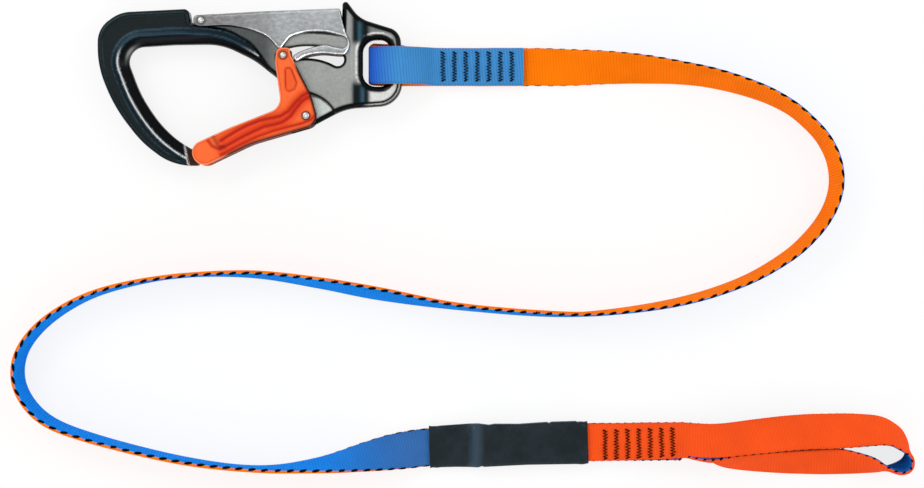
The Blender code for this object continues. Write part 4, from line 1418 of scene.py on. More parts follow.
@dataclass
class Gate(Cheeks):
    """Pressed gate with its pair of grooves, the dimple, the embossed window and the turned lip."""

    orange: Colour = (0.93, 0.145, 0.033)
    # Painted shade: darker orange over the pressed band round the grooves and the lip, and inside the window.
    middle: Colour = (0.72, 0.055, 0.007)
    # Painted shade: deep red in the grooves, the lip's groove, the sag by the dimple, round the window and in
    # the crease inside the rim.
    deep: Colour = (0.45, 0.013, 0.0008)
    # Painted shade: near-black red at the folds by the dimple, along the right and the lower edge, and in
    # rings round the rivets.
    shade_brown: Colour = (0.03, 0.005, 0.004)
    # Painted highlight: pale orange along the rim.
    pale: Colour = (1.0, 0.34, 0.17)
    groove_depth: float = 0.55
    groove_width: float = 0.85
    dimple: tuple[float, float] = (-14.4, -27.9)

    def rim(self) -> Outline:
        """Outline of one cheek."""
        (gx, gy), (px, py) = HOOK.gate_pivot, HOOK.follower
        return Outline.rounded(
            [
                (gx - 54.6, gy - 14.3, 5.9),
                (gx - 49.6, gy - 24.65, 5.9),
                (gx - 25.0, gy - 12.9, 40.0),
                (gx + 6.2, gy - 3.9, 5.5),
                (gx + 2.2, gy + 10.0, 25.0),
                (px + 3.2, py + 0.5, 6.0),
                (px + 3.1, py + 3.5, 2.6),
                (px - 3.1, py + 3.5, 2.8),
                (px - 3.8, py - 3.0, 10.0),
                (gx - 11.4, gy + 3.9, 6.5),
                (gx - 35.3, gy - 5.5, 40.0),
            ],
            step=math.radians(3),
        )

    def holes(self) -> list[Outline]:
        """Holes for the pivot rivet and the follower pin."""
        return [Outline.circle(HOOK.gate_pivot, 1.45, 24), Outline.circle(HOOK.follower, 1.25, 24)]

    def bend(self) -> tuple[Rows, Rows]:
        """Outer and inner line of the web along the lower edge."""
        rim = self.rim()
        low = rim.points[rim.marks[2] - 1 : rim.marks[3] + 1].copy()
        low[0] += (low[1] - low[0]) * 0.06
        share = (HOOK.gate_pivot.x - 7.0 - low[-2][0]) / (low[-1][0] - low[-2][0])
        low[-1] = low[-2] + (low[-1] - low[-2]) * share
        run = np.gradient(low, axis=0)
        normal = unit(np.column_stack([-run[:, 1], run[:, 0]]))
        return low, low + normal * HOOK.sheet

    def window(self) -> Outline:
        """Embossed window on the upright arm."""
        return Outline.rounded(
            [
                (16.7, 6.9, 0.9),
                (19.3, 6.9, 0.9),
                (22.0, 0.1, 1.2),
                (21.3, -2.8, 1.0),
                (18.3, -4.1, 1.0),
                (17.0, -2.7, 1.0),
            ]
        )

    def creases(self) -> list[tuple[Outline, Sequence[float]]]:
        """The window and the rim, with the distances at which points follow them."""
        return [(self.window(), (-0.4, 0.0, 0.4)), (self.rim(), (0.3, 0.6, 0.95, 1.3))]

    def pressed_lines(self) -> list[Line]:
        """Middle of the upper and the lower groove, of the lip, and of the two folds at the dimple."""
        upper = [(28.5, -4.4), (27.0, -4.8), (24.5, -6.2), (21.4, -9.3), (18.3, -13.2), (14.7, -15.4)]
        upper += [(11.1, -16.2), (5.4, -17.3), (-0.5, -19.6), (-5.6, -22.2), (-9.7, -24.7), (-12.8, -26.6)]
        lower = [(29.0, -6.6), (27.0, -7.0), (24.5, -8.8), (21.9, -11.9), (19.3, -15.5), (16.2, -17.9)]
        lower += [(12.6, -19.1), (7.5, -20.1), (1.8, -22.6), (-4.3, -25.8), (-9.7, -28.8), (-12.8, -30.2)]
        lip = [(30.6, -11.0), (30.7, -14.6), (28.7, -17.0), (24.5, -18.7), (17.8, -20.4), (11.1, -22.2)]
        lip += [(3.4, -25.0), (-4.3, -28.6), (-13.0, -33.2)]
        fold = [(-16.7, -24.5), (-15.4, -27.1), (-14.2, -29.2), (-11.4, -29.7)]
        sag = [(-19.0, -26.6), (-17.0, -29.2), (-14.2, -30.5), (-11.4, -29.7)]
        return [upper, lower, lip, fold, sag]

    def edge_shade(self, spots: Rows, edge: Rows) -> Rows:
        """Share of the painted shade along the right and the lower edge."""
        x, y = spots[:, 0], spots[:, 1]
        right = step_up((x - 20.0) / 3.0) * step_up((y + 20.5) / 2.0)
        low = step_up((-12.0 - 0.42 * (26.3 - x) - y) / 3.0) * step_up((x + 14.0) / 6.0)
        return np.clip(1.8 * bell(edge, 0.75) * np.maximum(right, 0.7 * low), 0.0, 1.0)

    def relief(self, spots: Rows) -> Surface:
        """Height over the cheek's flat, colour and gloss."""
        to_lines = [line_distance(spots, np.array(line)) for line in self.pressed_lines()]
        to_upper, to_lower, to_lip, to_fold, to_sag = to_lines
        deep = bell(to_upper, self.groove_width) + bell(to_lower, self.groove_width)
        fine = bell(to_lip, 0.5)
        dimple = bell(away_from(spots, self.dimple), 2.6)
        window = self.window()
        frame_line = bell(window.distance(spots), 0.45)
        height = -self.groove_depth * np.minimum(deep, 1.0) - 0.22 * fine - 0.9 * dimple - 0.3 * frame_line
        # Painted shade over the pressed band round the grooves and the lip, and inside the window.
        pressed = np.clip(bell(to_upper, 2.6) + bell(to_lower, 2.2) + 0.8 * bell(to_lip, 1.4), 0.0, 1.0)
        shade = blend_rows(pressed, evenly(self.orange, spots), self.middle)
        shade = blend_rows(0.4 * step_up(window.depth(spots) / 0.8), shade, self.middle)
        edge = self.rim().distance(spots)
        # Painted highlight along the rim.
        shade = blend_rows(bell(edge - 0.3, 0.3) * 0.75, shade, self.pale)
        # Painted shade in the crease inside the rim.
        shade = blend_rows(bell(edge - 0.95, 0.22) * 0.5, shade, self.deep)
        # Painted shade in the grooves, the lip's groove, the sag and round the window.
        dark = np.clip(deep * 1.3 + fine * 1.1 + bell(to_sag, 0.8) * 0.9 + frame_line, 0.0, 1.0)
        shade = blend_rows(dark, shade, self.deep)
        # Painted shade at the folds by the dimple and along the right and the lower edge.
        shade = blend_rows(bell(to_fold, 0.8) * 0.5, shade, self.shade_brown)
        shade = blend_rows(self.edge_shade(spots, edge), shade, self.shade_brown)
        # Painted shade in a ring round each rivet's head.
        for centre in (HOOK.gate_pivot, HOOK.follower):
            shade = blend_rows(bell(away_from(spots, centre) - 1.95, 0.3) * 0.8, shade, self.shade_brown)
        return Surface(height, shade, np.full(len(spots), 0.4))


@dataclass
class Rivets:
    """The two pivot rivets and the follower pin, each with a low head at both ends."""

    head_rise: float = 1.0
    head_wide: float = 0.4
    gloss: float = 0.26

    def build_one(self, name: str, centre: Vector, shaft: float, seat: float, body: Body) -> None:
        """Turn one rivet.

        Args:
            name: CAD node that it replaces.
            centre: Its axis.
            shaft: Radius of its shaft.
            seat: Outer face of the sheet that its heads sit on, from the hook's middle.
            body: Body that it rides on.
        """
        head, top = shaft + self.head_wide, seat + self.head_rise
        half = [(0.0, top - 0.12), (head * 0.22, top - 0.1), (head * 0.3, top), (head * 0.55, top - 0.04)]
        half += [(head * 0.78, top - 0.16), (head * 0.93, top - 0.36), (head, top - 0.6), (head, seat + 0.02)]
        half += [(shaft, seat), (shaft, seat - 0.1)]
        profile = [(r, HOOK.middle + z) for r, z in half] + [(r, HOOK.middle - z) for r, z in reversed(half)]
        made = turned(name + "_turned", centre, profile)
        spots = np.array([point.co[:2] for point in made.data.vertices]) / MM
        away = away_from(spots, centre) / head
        # Painted highlight and shade on each head: light in the middle, a dark ring, a lighter band and dark
        # at the rim.
        marks = [(0.0, 0.95), (0.25, 0.9), (0.36, 0.25), (0.55, 0.6), (0.8, 0.5), (0.95, 0.12), (1.0, 0.06)]
        level = np.interp(away, *zip(*marks))
        colours = np.column_stack([level, level, level * 1.02, np.ones(len(level))])
        store_look(made, colours, np.full(len(level), self.gloss))
        dress(made, RIVET_METAL, body, Slot.RIVET, name)

    def build(self) -> None:
        """Turn all three."""
        self.build_one("lever_pivot_rivet", HOOK.lever_pivot, 1.2, HOOK.lever_outer, Body.HOOK)
        self.build_one("gate_pivot_rivet", HOOK.gate_pivot, 1.3, HOOK.gate_outer, Body.HOOK)
        self.build_one("follower_pin", HOOK.follower, 1.1, HOOK.gate_outer, Body.GATE)


@dataclass
class InnerWorks:
    """Bush, spacer, roller and springs, whose CAD shapes stay."""

    finishes: tuple = (
        ("gate_bush", BUSH_METAL),
        ("gate_spacer", SPACER_METAL),
        ("follower_roller", BUSH_METAL),
        ("gate_spring", WIRE_METAL),
        ("lever_spring", WIRE_METAL),
    )

    def build(self) -> None:
        """Dress the pieces that stay."""
        for node, finish in self.finishes:
            refinish(node, finish)


# The strap

# Middle line of the free run from the hook's eye to the sleeve, in metres: x, y and roll. The roll
# is the angle that the orange face has turned from facing up towards the right of the run.
RUN_ROUTE = (
    (0.1283, 0.0084, 0),
    (0.135, 0.0084, 5),
    (0.147, 0.008, 18),
    (0.1655, 0.0078, 34),
    (0.1818, 0.0071, 46),
    (0.2008, 0.0052, 60),
    (0.2175, 0.0023, 67),
    (0.2365, -0.0035, 73),
    (0.2505, -0.0104, 78),
    (0.2602, -0.0183, 80),
    (0.2672, -0.0265, 80),
    (0.2716, -0.0363, 80),
    (0.2725, -0.0474, 80),
    (0.2691, -0.0586, 80),
    (0.2616, -0.0695, 80),
    (0.2495, -0.0804, 81),
    (0.2286, -0.0921, 83),
    (0.1998, -0.1012, 85),
    (0.1644, -0.1064, 90),
    (0.1375, -0.1068, 94),
    (0.0965, -0.1034, 96),
    (0.0603, -0.0976, 106),
    (0.0319, -0.0925, 103),
    (0.0012, -0.0885, 96),
    (-0.0318, -0.0891, 90),
    (-0.0588, -0.0935, 92),
    (-0.0792, -0.1004, 94),
    (-0.0969, -0.1121, 96),
    (-0.1069, -0.126, 96),
    (-0.1071, -0.1411, 96),
    (-0.0964, -0.1552, 96),
    (-0.0753, -0.1643, 94),
    (-0.0332, -0.1748, 91),
    (0.0021, -0.179, 89),
    (0.0305, -0.1774, 104),
    (0.0537, -0.1736, 134),
    (0.07, -0.171, 162),
    (0.0834, -0.1694, 180),
)

# Middle line of the hand loop from the stitching round and back, in metres: x, y, height and roll.
LOOP_ROUTE = (
    (0.2045, -0.1685, 0.0054, 144),
    (0.2095, -0.1717, 0.0081, 115),
    (0.214, -0.1743, 0.0089, 92),
    (0.22, -0.1756, 0.0088, 76),
    (0.227, -0.1757, 0.0086, 66),
    (0.2375, -0.1758, 0.0081, 58),
    (0.2472, -0.1758, 0.0077, 52),
    (0.2596, -0.1757, 0.0073, 47),
    (0.2716, -0.1755, 0.0071, 44),
    (0.2864, -0.1769, 0.0083, 62),
    (0.2938, -0.1787, 0.0089, 80),
    (0.3, -0.1792, 0.0088, 96),
    (0.3044, -0.1777, 0.0088, 100),
    (0.3062, -0.1738, 0.0088, 90),
    (0.3051, -0.1696, 0.0088, 77),
    (0.302, -0.1656, 0.0088, 64),
    (0.2984, -0.163, 0.0086, 56),
    (0.293, -0.1612, 0.0087, 46),
    (0.2852, -0.1609, 0.0094, 37),
    (0.2736, -0.1611, 0.0106, 28),
    (0.256, -0.1617, 0.0117, 26),
    (0.2375, -0.1634, 0.0122, 28),
    (0.228, -0.1645, 0.0126, 31),
    (0.22, -0.1653, 0.0132, 32),
    (0.214, -0.1657, 0.0129, 31),
    (0.2085, -0.1657, 0.0116, 28),
    (0.203, -0.1656, 0.0095, 25),
)


@dataclass(frozen=True)
class StrapSizes:
    """Sizes that the strap's pieces share, in metres and degrees."""

    width: float = 0.0175
    thick: float = 0.0024
    gap: float = 0.0003
    lying: float = 0.0013
    start_x: float = 0.128
    eye_y: float = 0.0084
    hook_middle: float = 0.0086
    bar_x: float = 0.0677
    bar_loop: float = 0.0054
    fold_x: float = 0.0561
    sleeve_start: Vector = Vector((0.0832, -0.1693))
    sleeve_end: Vector = Vector((0.1571, -0.167))
    sleeve_wall: float = 0.0008
    sleeve_floor: float = 0.0023
    split: float = 0.016
    tail: float = 0.023
    stack_start: float = 0.006
    stack_length: float = 0.036
    stack_tilt: float = 22.0
    stack_spread: float = 0.0006
    level: float = 0.029

    @property
    def stack(self) -> float:
        """Distance between the middles of two layers that lie on each other."""
        return self.thick + self.gap

    def in_sleeve(self, along: float, side: float = 0.0) -> Vector:
        """Place so far along the sleeve's line and so far to its left."""
        way = (self.sleeve_end - self.sleeve_start).normalized()
        return self.sleeve_start + way * along + Vector((-way.y, way.x)) * side

    @property
    def sleeve_length(self) -> float:
        """Length of the sleeve."""
        return (self.sleeve_end - self.sleeve_start).length

    def edge_height(self, roll: float) -> float:
        """Height of the middle line when the lower edge rests on the surface."""
        angle = math.radians(roll)
        return abs(math.sin(angle)) * self.width / 2 + abs(math.cos(angle)) * self.lying

    def stacked(self, past: float) -> tuple[tuple, tuple, float]:
        """Lower and upper layer of the stitching.

        Args:
            past: Distance past the sleeve's end.

        Returns:
            Both layers' place and roll, and how far they tilt, in degrees.
        """
        share = (past - self.stack_start) / self.stack_length
        tilt = self.stack_tilt * share
        apart = self.stack + self.stack_spread * share
        angle = math.radians(tilt)
        spot = self.in_sleeve(self.sleeve_length + past, -self.level * past)
        height = self.edge_height(tilt)
        upper = (spot.x, spot.y + apart * math.sin(angle), height + apart * math.cos(angle), tilt)
        return (spot.x, spot.y, height, 180 - tilt), upper, tilt


STRAP = StrapSizes()


def through(route: Sequence[Sequence[float]], per_span: int = 12) -> Rows:
    """Points of a Catmull-Rom curve through a route.

    Args:
        route: Points of two or more numbers.
        per_span: Steps from one point of the route to the next.

    Returns:
        The curve's points.
    """
    rows = np.array(route, float)
    ends = np.concatenate([rows[:1], rows, rows[-1:]])
    made = []
    for p, q, r, s in zip(ends[:-3], ends[1:-2], ends[2:-1], ends[3:]):
        for k in range(per_span):
            t = k / per_span
            curve = 2 * q + (r - p) * t + (2 * p - 5 * q + 4 * r - s) * t**2 + (3 * q - p - 3 * r + s) * t**3
            made.append(0.5 * curve)
    made.append(rows[-1])
    return np.array(made)


def travelled(places: Rows) -> Rows:
    """Distance of each place along the line of them all."""
    gaps = np.linalg.norm(np.diff(places, axis=0), axis=1)
    return np.concatenate([[0.0], np.cumsum(gaps)])


def spaced_rows(rows: Rows, step: float, axes: int = 3) -> Rows:
    """Rows spread evenly along their line.

    Args:
        rows: Points, whose first numbers are the place.
        step: Distance between two rows.
        axes: How many numbers are the place.

    Returns:
        The evenly spaced rows.
    """
    travel = travelled(rows[:, :axes])
    spots = np.linspace(0.0, travel[-1], max(2, int(travel[-1] / step) + 1))
    return np.column_stack([np.interp(spots, travel, column) for column in rows.T])


@dataclass
class StrapLine:
    """Middle line of a strap with the direction of its width and of its orange face."""

    places: Rows
    across: Rows
    face: Rows

    @classmethod
    def rolled(cls, rows: Rows) -> "StrapLine":
        """Line of places and rolls, the roll measured from facing up."""
        places = rows[:, :3]
        way = unit(np.gradient(places, axis=0))
        right = unit(np.cross(way, (0.0, 0.0, 1.0)))
        top = np.cross(right, way)
        turn = np.radians(rows[:, 3:4])
        across = top * np.sin(turn) - right * np.cos(turn)
        return cls(places, across, top * np.cos(turn) + right * np.sin(turn))

    @classmethod
    def upright(cls, rows: Rows, y: float) -> "StrapLine":
        """Line in the plane of X and Z, its width along Y."""
        places = np.column_stack([rows[:, 0], np.full(len(rows), y), rows[:, 1]])
        way = unit(np.gradient(places, axis=0))
        face = np.column_stack([way[:, 2], np.zeros(len(rows)), -way[:, 0]])
        return cls(places, np.tile((0.0, 1.0, 0.0), (len(rows), 1)), face)

    def travel(self) -> Rows:
        """Distance of each place along the line."""
        return travelled(self.places)


@dataclass
class Ribbon:
    """Woven strap along a line: ribs across its faces, rounded selvedges and a slight unevenness."""

    line: StrapLine
    start: float = 0.0
    rib: float = 0.00135
    rib_depth: float = 0.00005
    notch: float = 0.0001
    uneven: float = 0.00012
    swell: Optional[Rows] = None

    def section(self) -> list[tuple[float, float, float, float]]:
        """Ring of the cross-section: place along the width and the thickness, map and rib share."""
        half, thin = STRAP.width / 2, STRAP.thick / 2
        flat = half - thin
        turn = [math.radians(a) for a in (0, 36, 66)]
        near = [(-flat - thin * math.cos(a), thin * math.sin(a)) for a in turn]
        face = [(-flat + 2 * flat * k / 10, thin) for k in range(11)]
        far = [(-x, z) for x, z in reversed(near)]
        upper = near + face + far
        made = []
        count = len(upper) - 1
        for k, (x, z) in enumerate(upper):
            made.append((x, z, 0.5 * k / count, 1.0 if 2 < k < count - 2 else 0.25))
        for k in range(count - 1, 0, -1):
            x, z, _, share = made[k]
            made.append((x, -z, 1.0 - 0.5 * k / count, share))
        return made

    def build(self, name: str) -> bpy.types.Object:
        """Make the closed ribbon with its map."""
        line, section = self.line, self.section()
        half, thin = STRAP.width / 2, STRAP.thick / 2
        travel = self.start + line.travel()
        side, rise, around, ribbed = np.array(section).T
        wave = 0.5 - 0.5 * np.cos(travel * (2 * math.pi / self.rib))
        wander = np.sin(travel * 61.0) + 0.6 * np.sin(travel * 173.0 + 1.3) + 0.4 * np.sin(travel * 397.0)
        count, size = len(travel), len(section)
        selvedge = np.clip(1.0 - (half - np.abs(side)) / thin, 0.0, 1.0) * np.sign(side)
        wide = side + self.uneven * wander[:, None] * np.abs(side) / STRAP.width
        wide = wide - self.notch * (2.0 * wave[:, None] - 1.0) * selvedge
        if self.swell is not None:
            wide = wide * (1.0 + self.swell[:, None] / half)
        thick = rise * (1.0 - ribbed * wave[:, None] * (self.rib_depth / thin))
        places = line.places[:, None] + line.across[:, None] * wide[..., None]
        places = places + line.face[:, None] * thick[..., None]
        polygons = []
        spans = []
        for i in range(count - 1):
            for j in range(size):
                k = (j + 1) % size
                polygons.append((i * size + j, i * size + k, (i + 1) * size + k, (i + 1) * size + j))
                spans.append((i, j))
        polygons += [tuple(range(size)), tuple(range((count - 1) * size, count * size))]
        made = mesh_object(name, places.reshape(-1, 3), polygons, 60.0)
        self.map(made, travel, around, spans)
        return made

    def map(self, made: bpy.types.Object, travel: Rows, around: Rows, spans: Faces) -> None:
        """Give the ribbon its map: metres along it, and the share of the way round it.

        Args:
            made: The ribbon's object.
            travel: Distance of each ring along the strap.
            around: Share of the way round of each point of a ring.
            spans: Ring and place in the ring where each face starts.
        """
        layer = made.data.uv_layers.new(name="strap_map")
        size = len(around)
        for polygon, (i, j) in zip(made.data.polygons, spans):
            for corner in polygon.loop_indices:
                ring, spot = divmod(made.data.loops[corner].vertex_index, size)
                v = 1.0 if j == size - 1 and spot == 0 else around[spot]
                layer.data[corner].uv = (travel[ring], v)


# What repeats along the strap


class Repeat(Graph):
    """Geometry Nodes tree with named inputs, made plain on a piece and then taken off it."""

    def __init__(self, name: str, inputs: dict[str, str]) -> None:
        """Make the tree's interface.

        Args:
            name: Name of the tree.
            inputs: Socket type of each named input.
        """
        group = bpy.data.node_groups.new(name, "GeometryNodeTree")
        super().__init__(group)
        group.interface.new_socket("Geometry", in_out="INPUT", socket_type="NodeSocketGeometry")
        self.keys: dict[str, str] = {}
        for label, kind in inputs.items():
            socket = group.interface.new_socket(label, in_out="INPUT", socket_type=kind)
            self.keys[label] = socket.identifier
        group.interface.new_socket("Geometry", in_out="OUTPUT", socket_type="NodeSocketGeometry")
        self.start = self.node("NodeGroupInput")

    def input(self, label: str) -> Value:
        """One of the tree's inputs."""
        return Value(self, self.start.outputs[label])

    def end(self, geometry: bpy.types.NodeSocket, material: Value) -> None:
        """Close the tree with real geometry and its material."""
        real = self.node("GeometryNodeRealizeInstances", {}, {0: geometry})
        sockets = {"Geometry": real.outputs[0], "Material": material}
        painted = self.node("GeometryNodeSetMaterial", {}, sockets)
        self.node("NodeGroupOutput", {}, {0: painted.outputs[0]})

    def made_on(self, base: bpy.types.Mesh, name: str, values: dict[str, object]) -> bpy.types.Mesh:
        """Plain mesh that the tree gives on a base.

        Args:
            base: Mesh that goes in.
            name: Name of the mesh that comes out.
            values: Values of the named inputs.

        Returns:
            The plain mesh.
        """
        carrier = plain_object(name + "_carrier", base)
        modifier = carrier.modifiers.new("repeat", "NODES")
        modifier.node_group = self.tree
        for label, setting in values.items():
            modifier[self.keys[label]] = setting
        bpy.context.view_layer.update()
        graph = bpy.context.evaluated_depsgraph_get()
        mesh = bpy.data.meshes.new_from_object(carrier.evaluated_get(graph))
        mesh.name = name
        bpy.data.objects.remove(carrier, do_unlink=True)
        return mesh


def zigzag_tree() -> Repeat:
    """Tree that lays one bar tack's thread in a zigzag along Y, round the origin."""
    uneven, lift = 0.00026, 0.00005
    sizes = {"Length": "NodeSocketFloat", "Width": "NodeSocketFloat", "Thread": "NodeSocketFloat"}
    counts = {"Passes": "NodeSocketInt", "Seed": "NodeSocketInt"}
    tree = Repeat("zigzag_stitches", {**sizes, **counts, "Material": "NodeSocketMaterial"})
    length, passes = tree.input("Length"), tree.input("Passes")
    index = Value(tree, tree.node("GeometryNodeInputIndex").outputs[0])
    points = tree.node("GeometryNodeMeshLine", {"mode": "OFFSET"}, {"Count": passes})
    jitter = tree.node(
        "FunctionNodeRandomValue",
        {"data_type": "FLOAT"},
        {2: -uneven, 3: uneven, "ID": index, "Seed": tree.input("Seed")},
    )
    side = (index % 2.0 - 0.5) * tree.input("Width") + Value(tree, jitter.outputs[1])
    along = (index / (passes - 1.0) - 0.5) * length
    rise = (index * 2.4).math("SINE") * lift
    spot = tree.node("ShaderNodeCombineXYZ", {}, {0: side, 1: along, 2: rise}).outputs[0]
    sockets = {"Geometry": points.outputs[0], "Position": spot}
    moved = tree.node("GeometryNodeSetPosition", {}, sockets)
    curve = tree.node("GeometryNodeMeshToCurve", {}, {0: moved.outputs[0]})
    sockets = {"Resolution": 6, "Radius": tree.input("Thread")}
    ring = tree.node("GeometryNodeCurvePrimitiveCircle", {"mode": "RADIUS"}, sockets)
    sockets = {0: curve.outputs[0], 1: ring.outputs[0], "Fill Caps": True}
    thread = tree.node("GeometryNodeCurveToMesh", {}, sockets)
    smooth = tree.node("GeometryNodeSetShadeSmooth", {}, {0: thread.outputs[0]})
    tree.end(smooth.outputs[0], tree.input("Material"))
    return tree


def tracer_tree() -> Repeat:
    """Tree that lays dashes at a pitch along a line, each standing on the line's crest direction."""
    kinds = {"Pitch": "NodeSocketFloat", "Dash": "NodeSocketObject", "Material": "NodeSocketMaterial"}
    tree = Repeat("tracer_dashes", kinds)
    curve = tree.node("GeometryNodeMeshToCurve", {}, {0: tree.start.outputs["Geometry"]})
    sockets = {"Curve": curve.outputs[0], "Length": tree.input("Pitch")}
    even = tree.node("GeometryNodeResampleCurve", {"mode": "LENGTH"}, sockets)
    kept = {"transform_space": "ORIGINAL"}
    dash = tree.node("GeometryNodeObjectInfo", kept, {"Object": tree.input("Dash")})
    vector = {"data_type": "FLOAT_VECTOR"}
    crest = tree.node("GeometryNodeInputNamedAttribute", vector, {"Name": "crest"})
    tangent = tree.node("GeometryNodeInputTangent")
    upright = {"Vector": crest.outputs[0]}
    stand = tree.node("FunctionNodeAlignRotationToVector", {"axis": "Z"}, upright)
    turn = tree.node(
        "FunctionNodeAlignRotationToVector",
        {"axis": "X", "pivot_axis": "Z"},
        {"Rotation": stand.outputs[0], "Vector": tangent.outputs[0]},
    )
    laid = tree.node(
        "GeometryNodeInstanceOnPoints",
        {},
        {"Points": even.outputs[0], "Instance": dash.outputs["Geometry"], "Rotation": turn.outputs[0]},
    )
    tree.end(laid.outputs[0], tree.input("Material"))
    return tree


@dataclass
class Tracers:
    """Dark tracer yarn that shows as slanted dashes on a selvedge."""

    pitch: float = 0.0059
    length: float = 0.0037
    wide: float = 0.0014
    rise: float = 0.00024
    slant: float = 0.5
    turned: float = 0.29

    def __post_init__(self) -> None:
        """Make the tree and the dash that it repeats."""
        self.tree = tracer_tree()
        self.dash = self.dash_object()

    def dash_object(self) -> bpy.types.Object:
        """Low slanted pad of yarn, kept out of the scene's collections."""
        rows, columns = 4, 8
        places, polygons = [], []
        for i in range(rows + 1):
            for j in range(columns + 1):
                u, v = 2 * j / columns - 1, 2 * i / rows - 1
                side = (v * (1 - 0.6 * u * u) + u * self.slant) * self.wide / 2
                bend = STRAP.thick / 2 - math.sqrt((STRAP.thick / 2) ** 2 - side**2)
                pad = self.rise * (1 - u**4) * (1 - 0.5 * v**2) - 0.00005
                places.append((u * self.length / 2, side, pad - bend))
        for i in range(rows):
            for j in range(columns):
                a = i * (columns + 1) + j
                polygons.append((a, a + 1, a + columns + 2, a + columns + 1))
        mesh = bpy.data.meshes.new("tracer_dash")
        mesh.from_pydata(places, [], polygons)
        mesh.shade_smooth()
        return bpy.data.objects.new("tracer_dash", mesh)

    def along(self, name: str, line: StrapLine, top: bool) -> bpy.types.Object:
        """Dashes along one selvedge of a strap.

        Args:
            name: Name of the piece.
            line: The strap's line.
            top: Whether they are on the selvedge that the line's width points to.

        Returns:
            The dashes as one plain piece.
        """
        side = line.across if top else -line.across
        crest = side * math.cos(self.turned) - line.face * math.sin(self.turned)
        spots = line.places + side * (STRAP.width - STRAP.thick) / 2 + crest * (STRAP.thick / 2)
        base = bpy.data.meshes.new(name + "_line")
        base.from_pydata([tuple(p) for p in spots], [(i, i + 1) for i in range(len(spots) - 1)], [])
        kept = base.attributes.new("crest", "FLOAT_VECTOR", "POINT")
        kept.data.foreach_set("vector", crest.astype(np.float32).ravel())
        values = {"Pitch": self.pitch, "Dash": self.dash, "Material": THREAD_BLACK.material()}
        return plain_object(name, self.tree.made_on(base, name, values))


@dataclass
class BarTacks:
    """Seven bars of zigzag stitching through both layers, at each end of the strap."""

    count: int = 7
    length: float = 0.0136
    width: float = 0.0018
    passes: int = 21
    thread: float = 0.00045
    raised: float = 0.0002
    sunk: float = 0.0004
    lowered: float = 0.0012
    eye_first: float = 0.0895
    eye_pitch: float = 0.00536
    loop_first: float = 0.0081
    loop_pitch: float = 0.0052

    def __post_init__(self) -> None:
        """Make the tree."""
        self.tree = zigzag_tree()

    def build_one(self, name: str, layers: Sequence, tilt: float, seed: int, finish: Finish) -> None:
        """Lay one tack's thread on the upper and the lower side.

        Args:
            name: CAD node that it replaces.
            layers: Middle of the upper and of the lower layer.
            tilt: Tilt of the layers in degrees.
            seed: Seed of the thread's unevenness.
            finish: Finish of the thread.
        """
        angle = -math.radians(tilt)
        c, s = math.cos(angle), math.sin(angle)
        whole = bmesh.new()
        heights = (STRAP.thick / 2 + self.raised, self.sunk - STRAP.thick / 2)
        for side, (spot, height) in enumerate(zip(layers, heights)):
            base = bpy.data.meshes.new("tack_base")
            values = {"Length": self.length, "Width": self.width, "Thread": self.thread}
            values |= {"Passes": self.passes, "Seed": seed * 2 + side, "Material": finish.material()}
            thread = self.tree.made_on(base, name + "_pass", values)
            for point in thread.vertices:
                x, y, z = point.co.x, point.co.y, point.co.z + height
                point.co = (spot[0] + x, spot[1] + y * c - z * s, spot[2] + y * s + z * c)
            whole.from_mesh(thread)
        mesh = bpy.data.meshes.new(name + "_thread")
        whole.to_mesh(mesh)
        whole.free()
        mesh.shade_smooth()
        dress(plain_object(name + "_thread", mesh), finish, Body.TETHER, Slot.THREAD, name)

    def build(self) -> None:
        """Lay every tack."""
        for k in range(self.count):
            x = self.eye_first + k * self.eye_pitch
            layers = [(x, STRAP.eye_y, STRAP.lying + lift) for lift in (STRAP.stack, 0.0)]
            self.build_one(f"eye_tack_{k + 1}", layers, 0.0, k, THREAD_BLACK)
            lower, upper, tilt = STRAP.stacked(self.loop_first + k * self.loop_pitch)
            way = math.radians(tilt)
            shift = np.array((0.0, -math.cos(way), math.sin(way))) * self.lowered
            layers = [np.array(layer[:3]) + shift for layer in (upper, lower)]
            self.build_one(f"loop_tack_{k + 1}", layers, tilt, 20 + k, THREAD_RED)


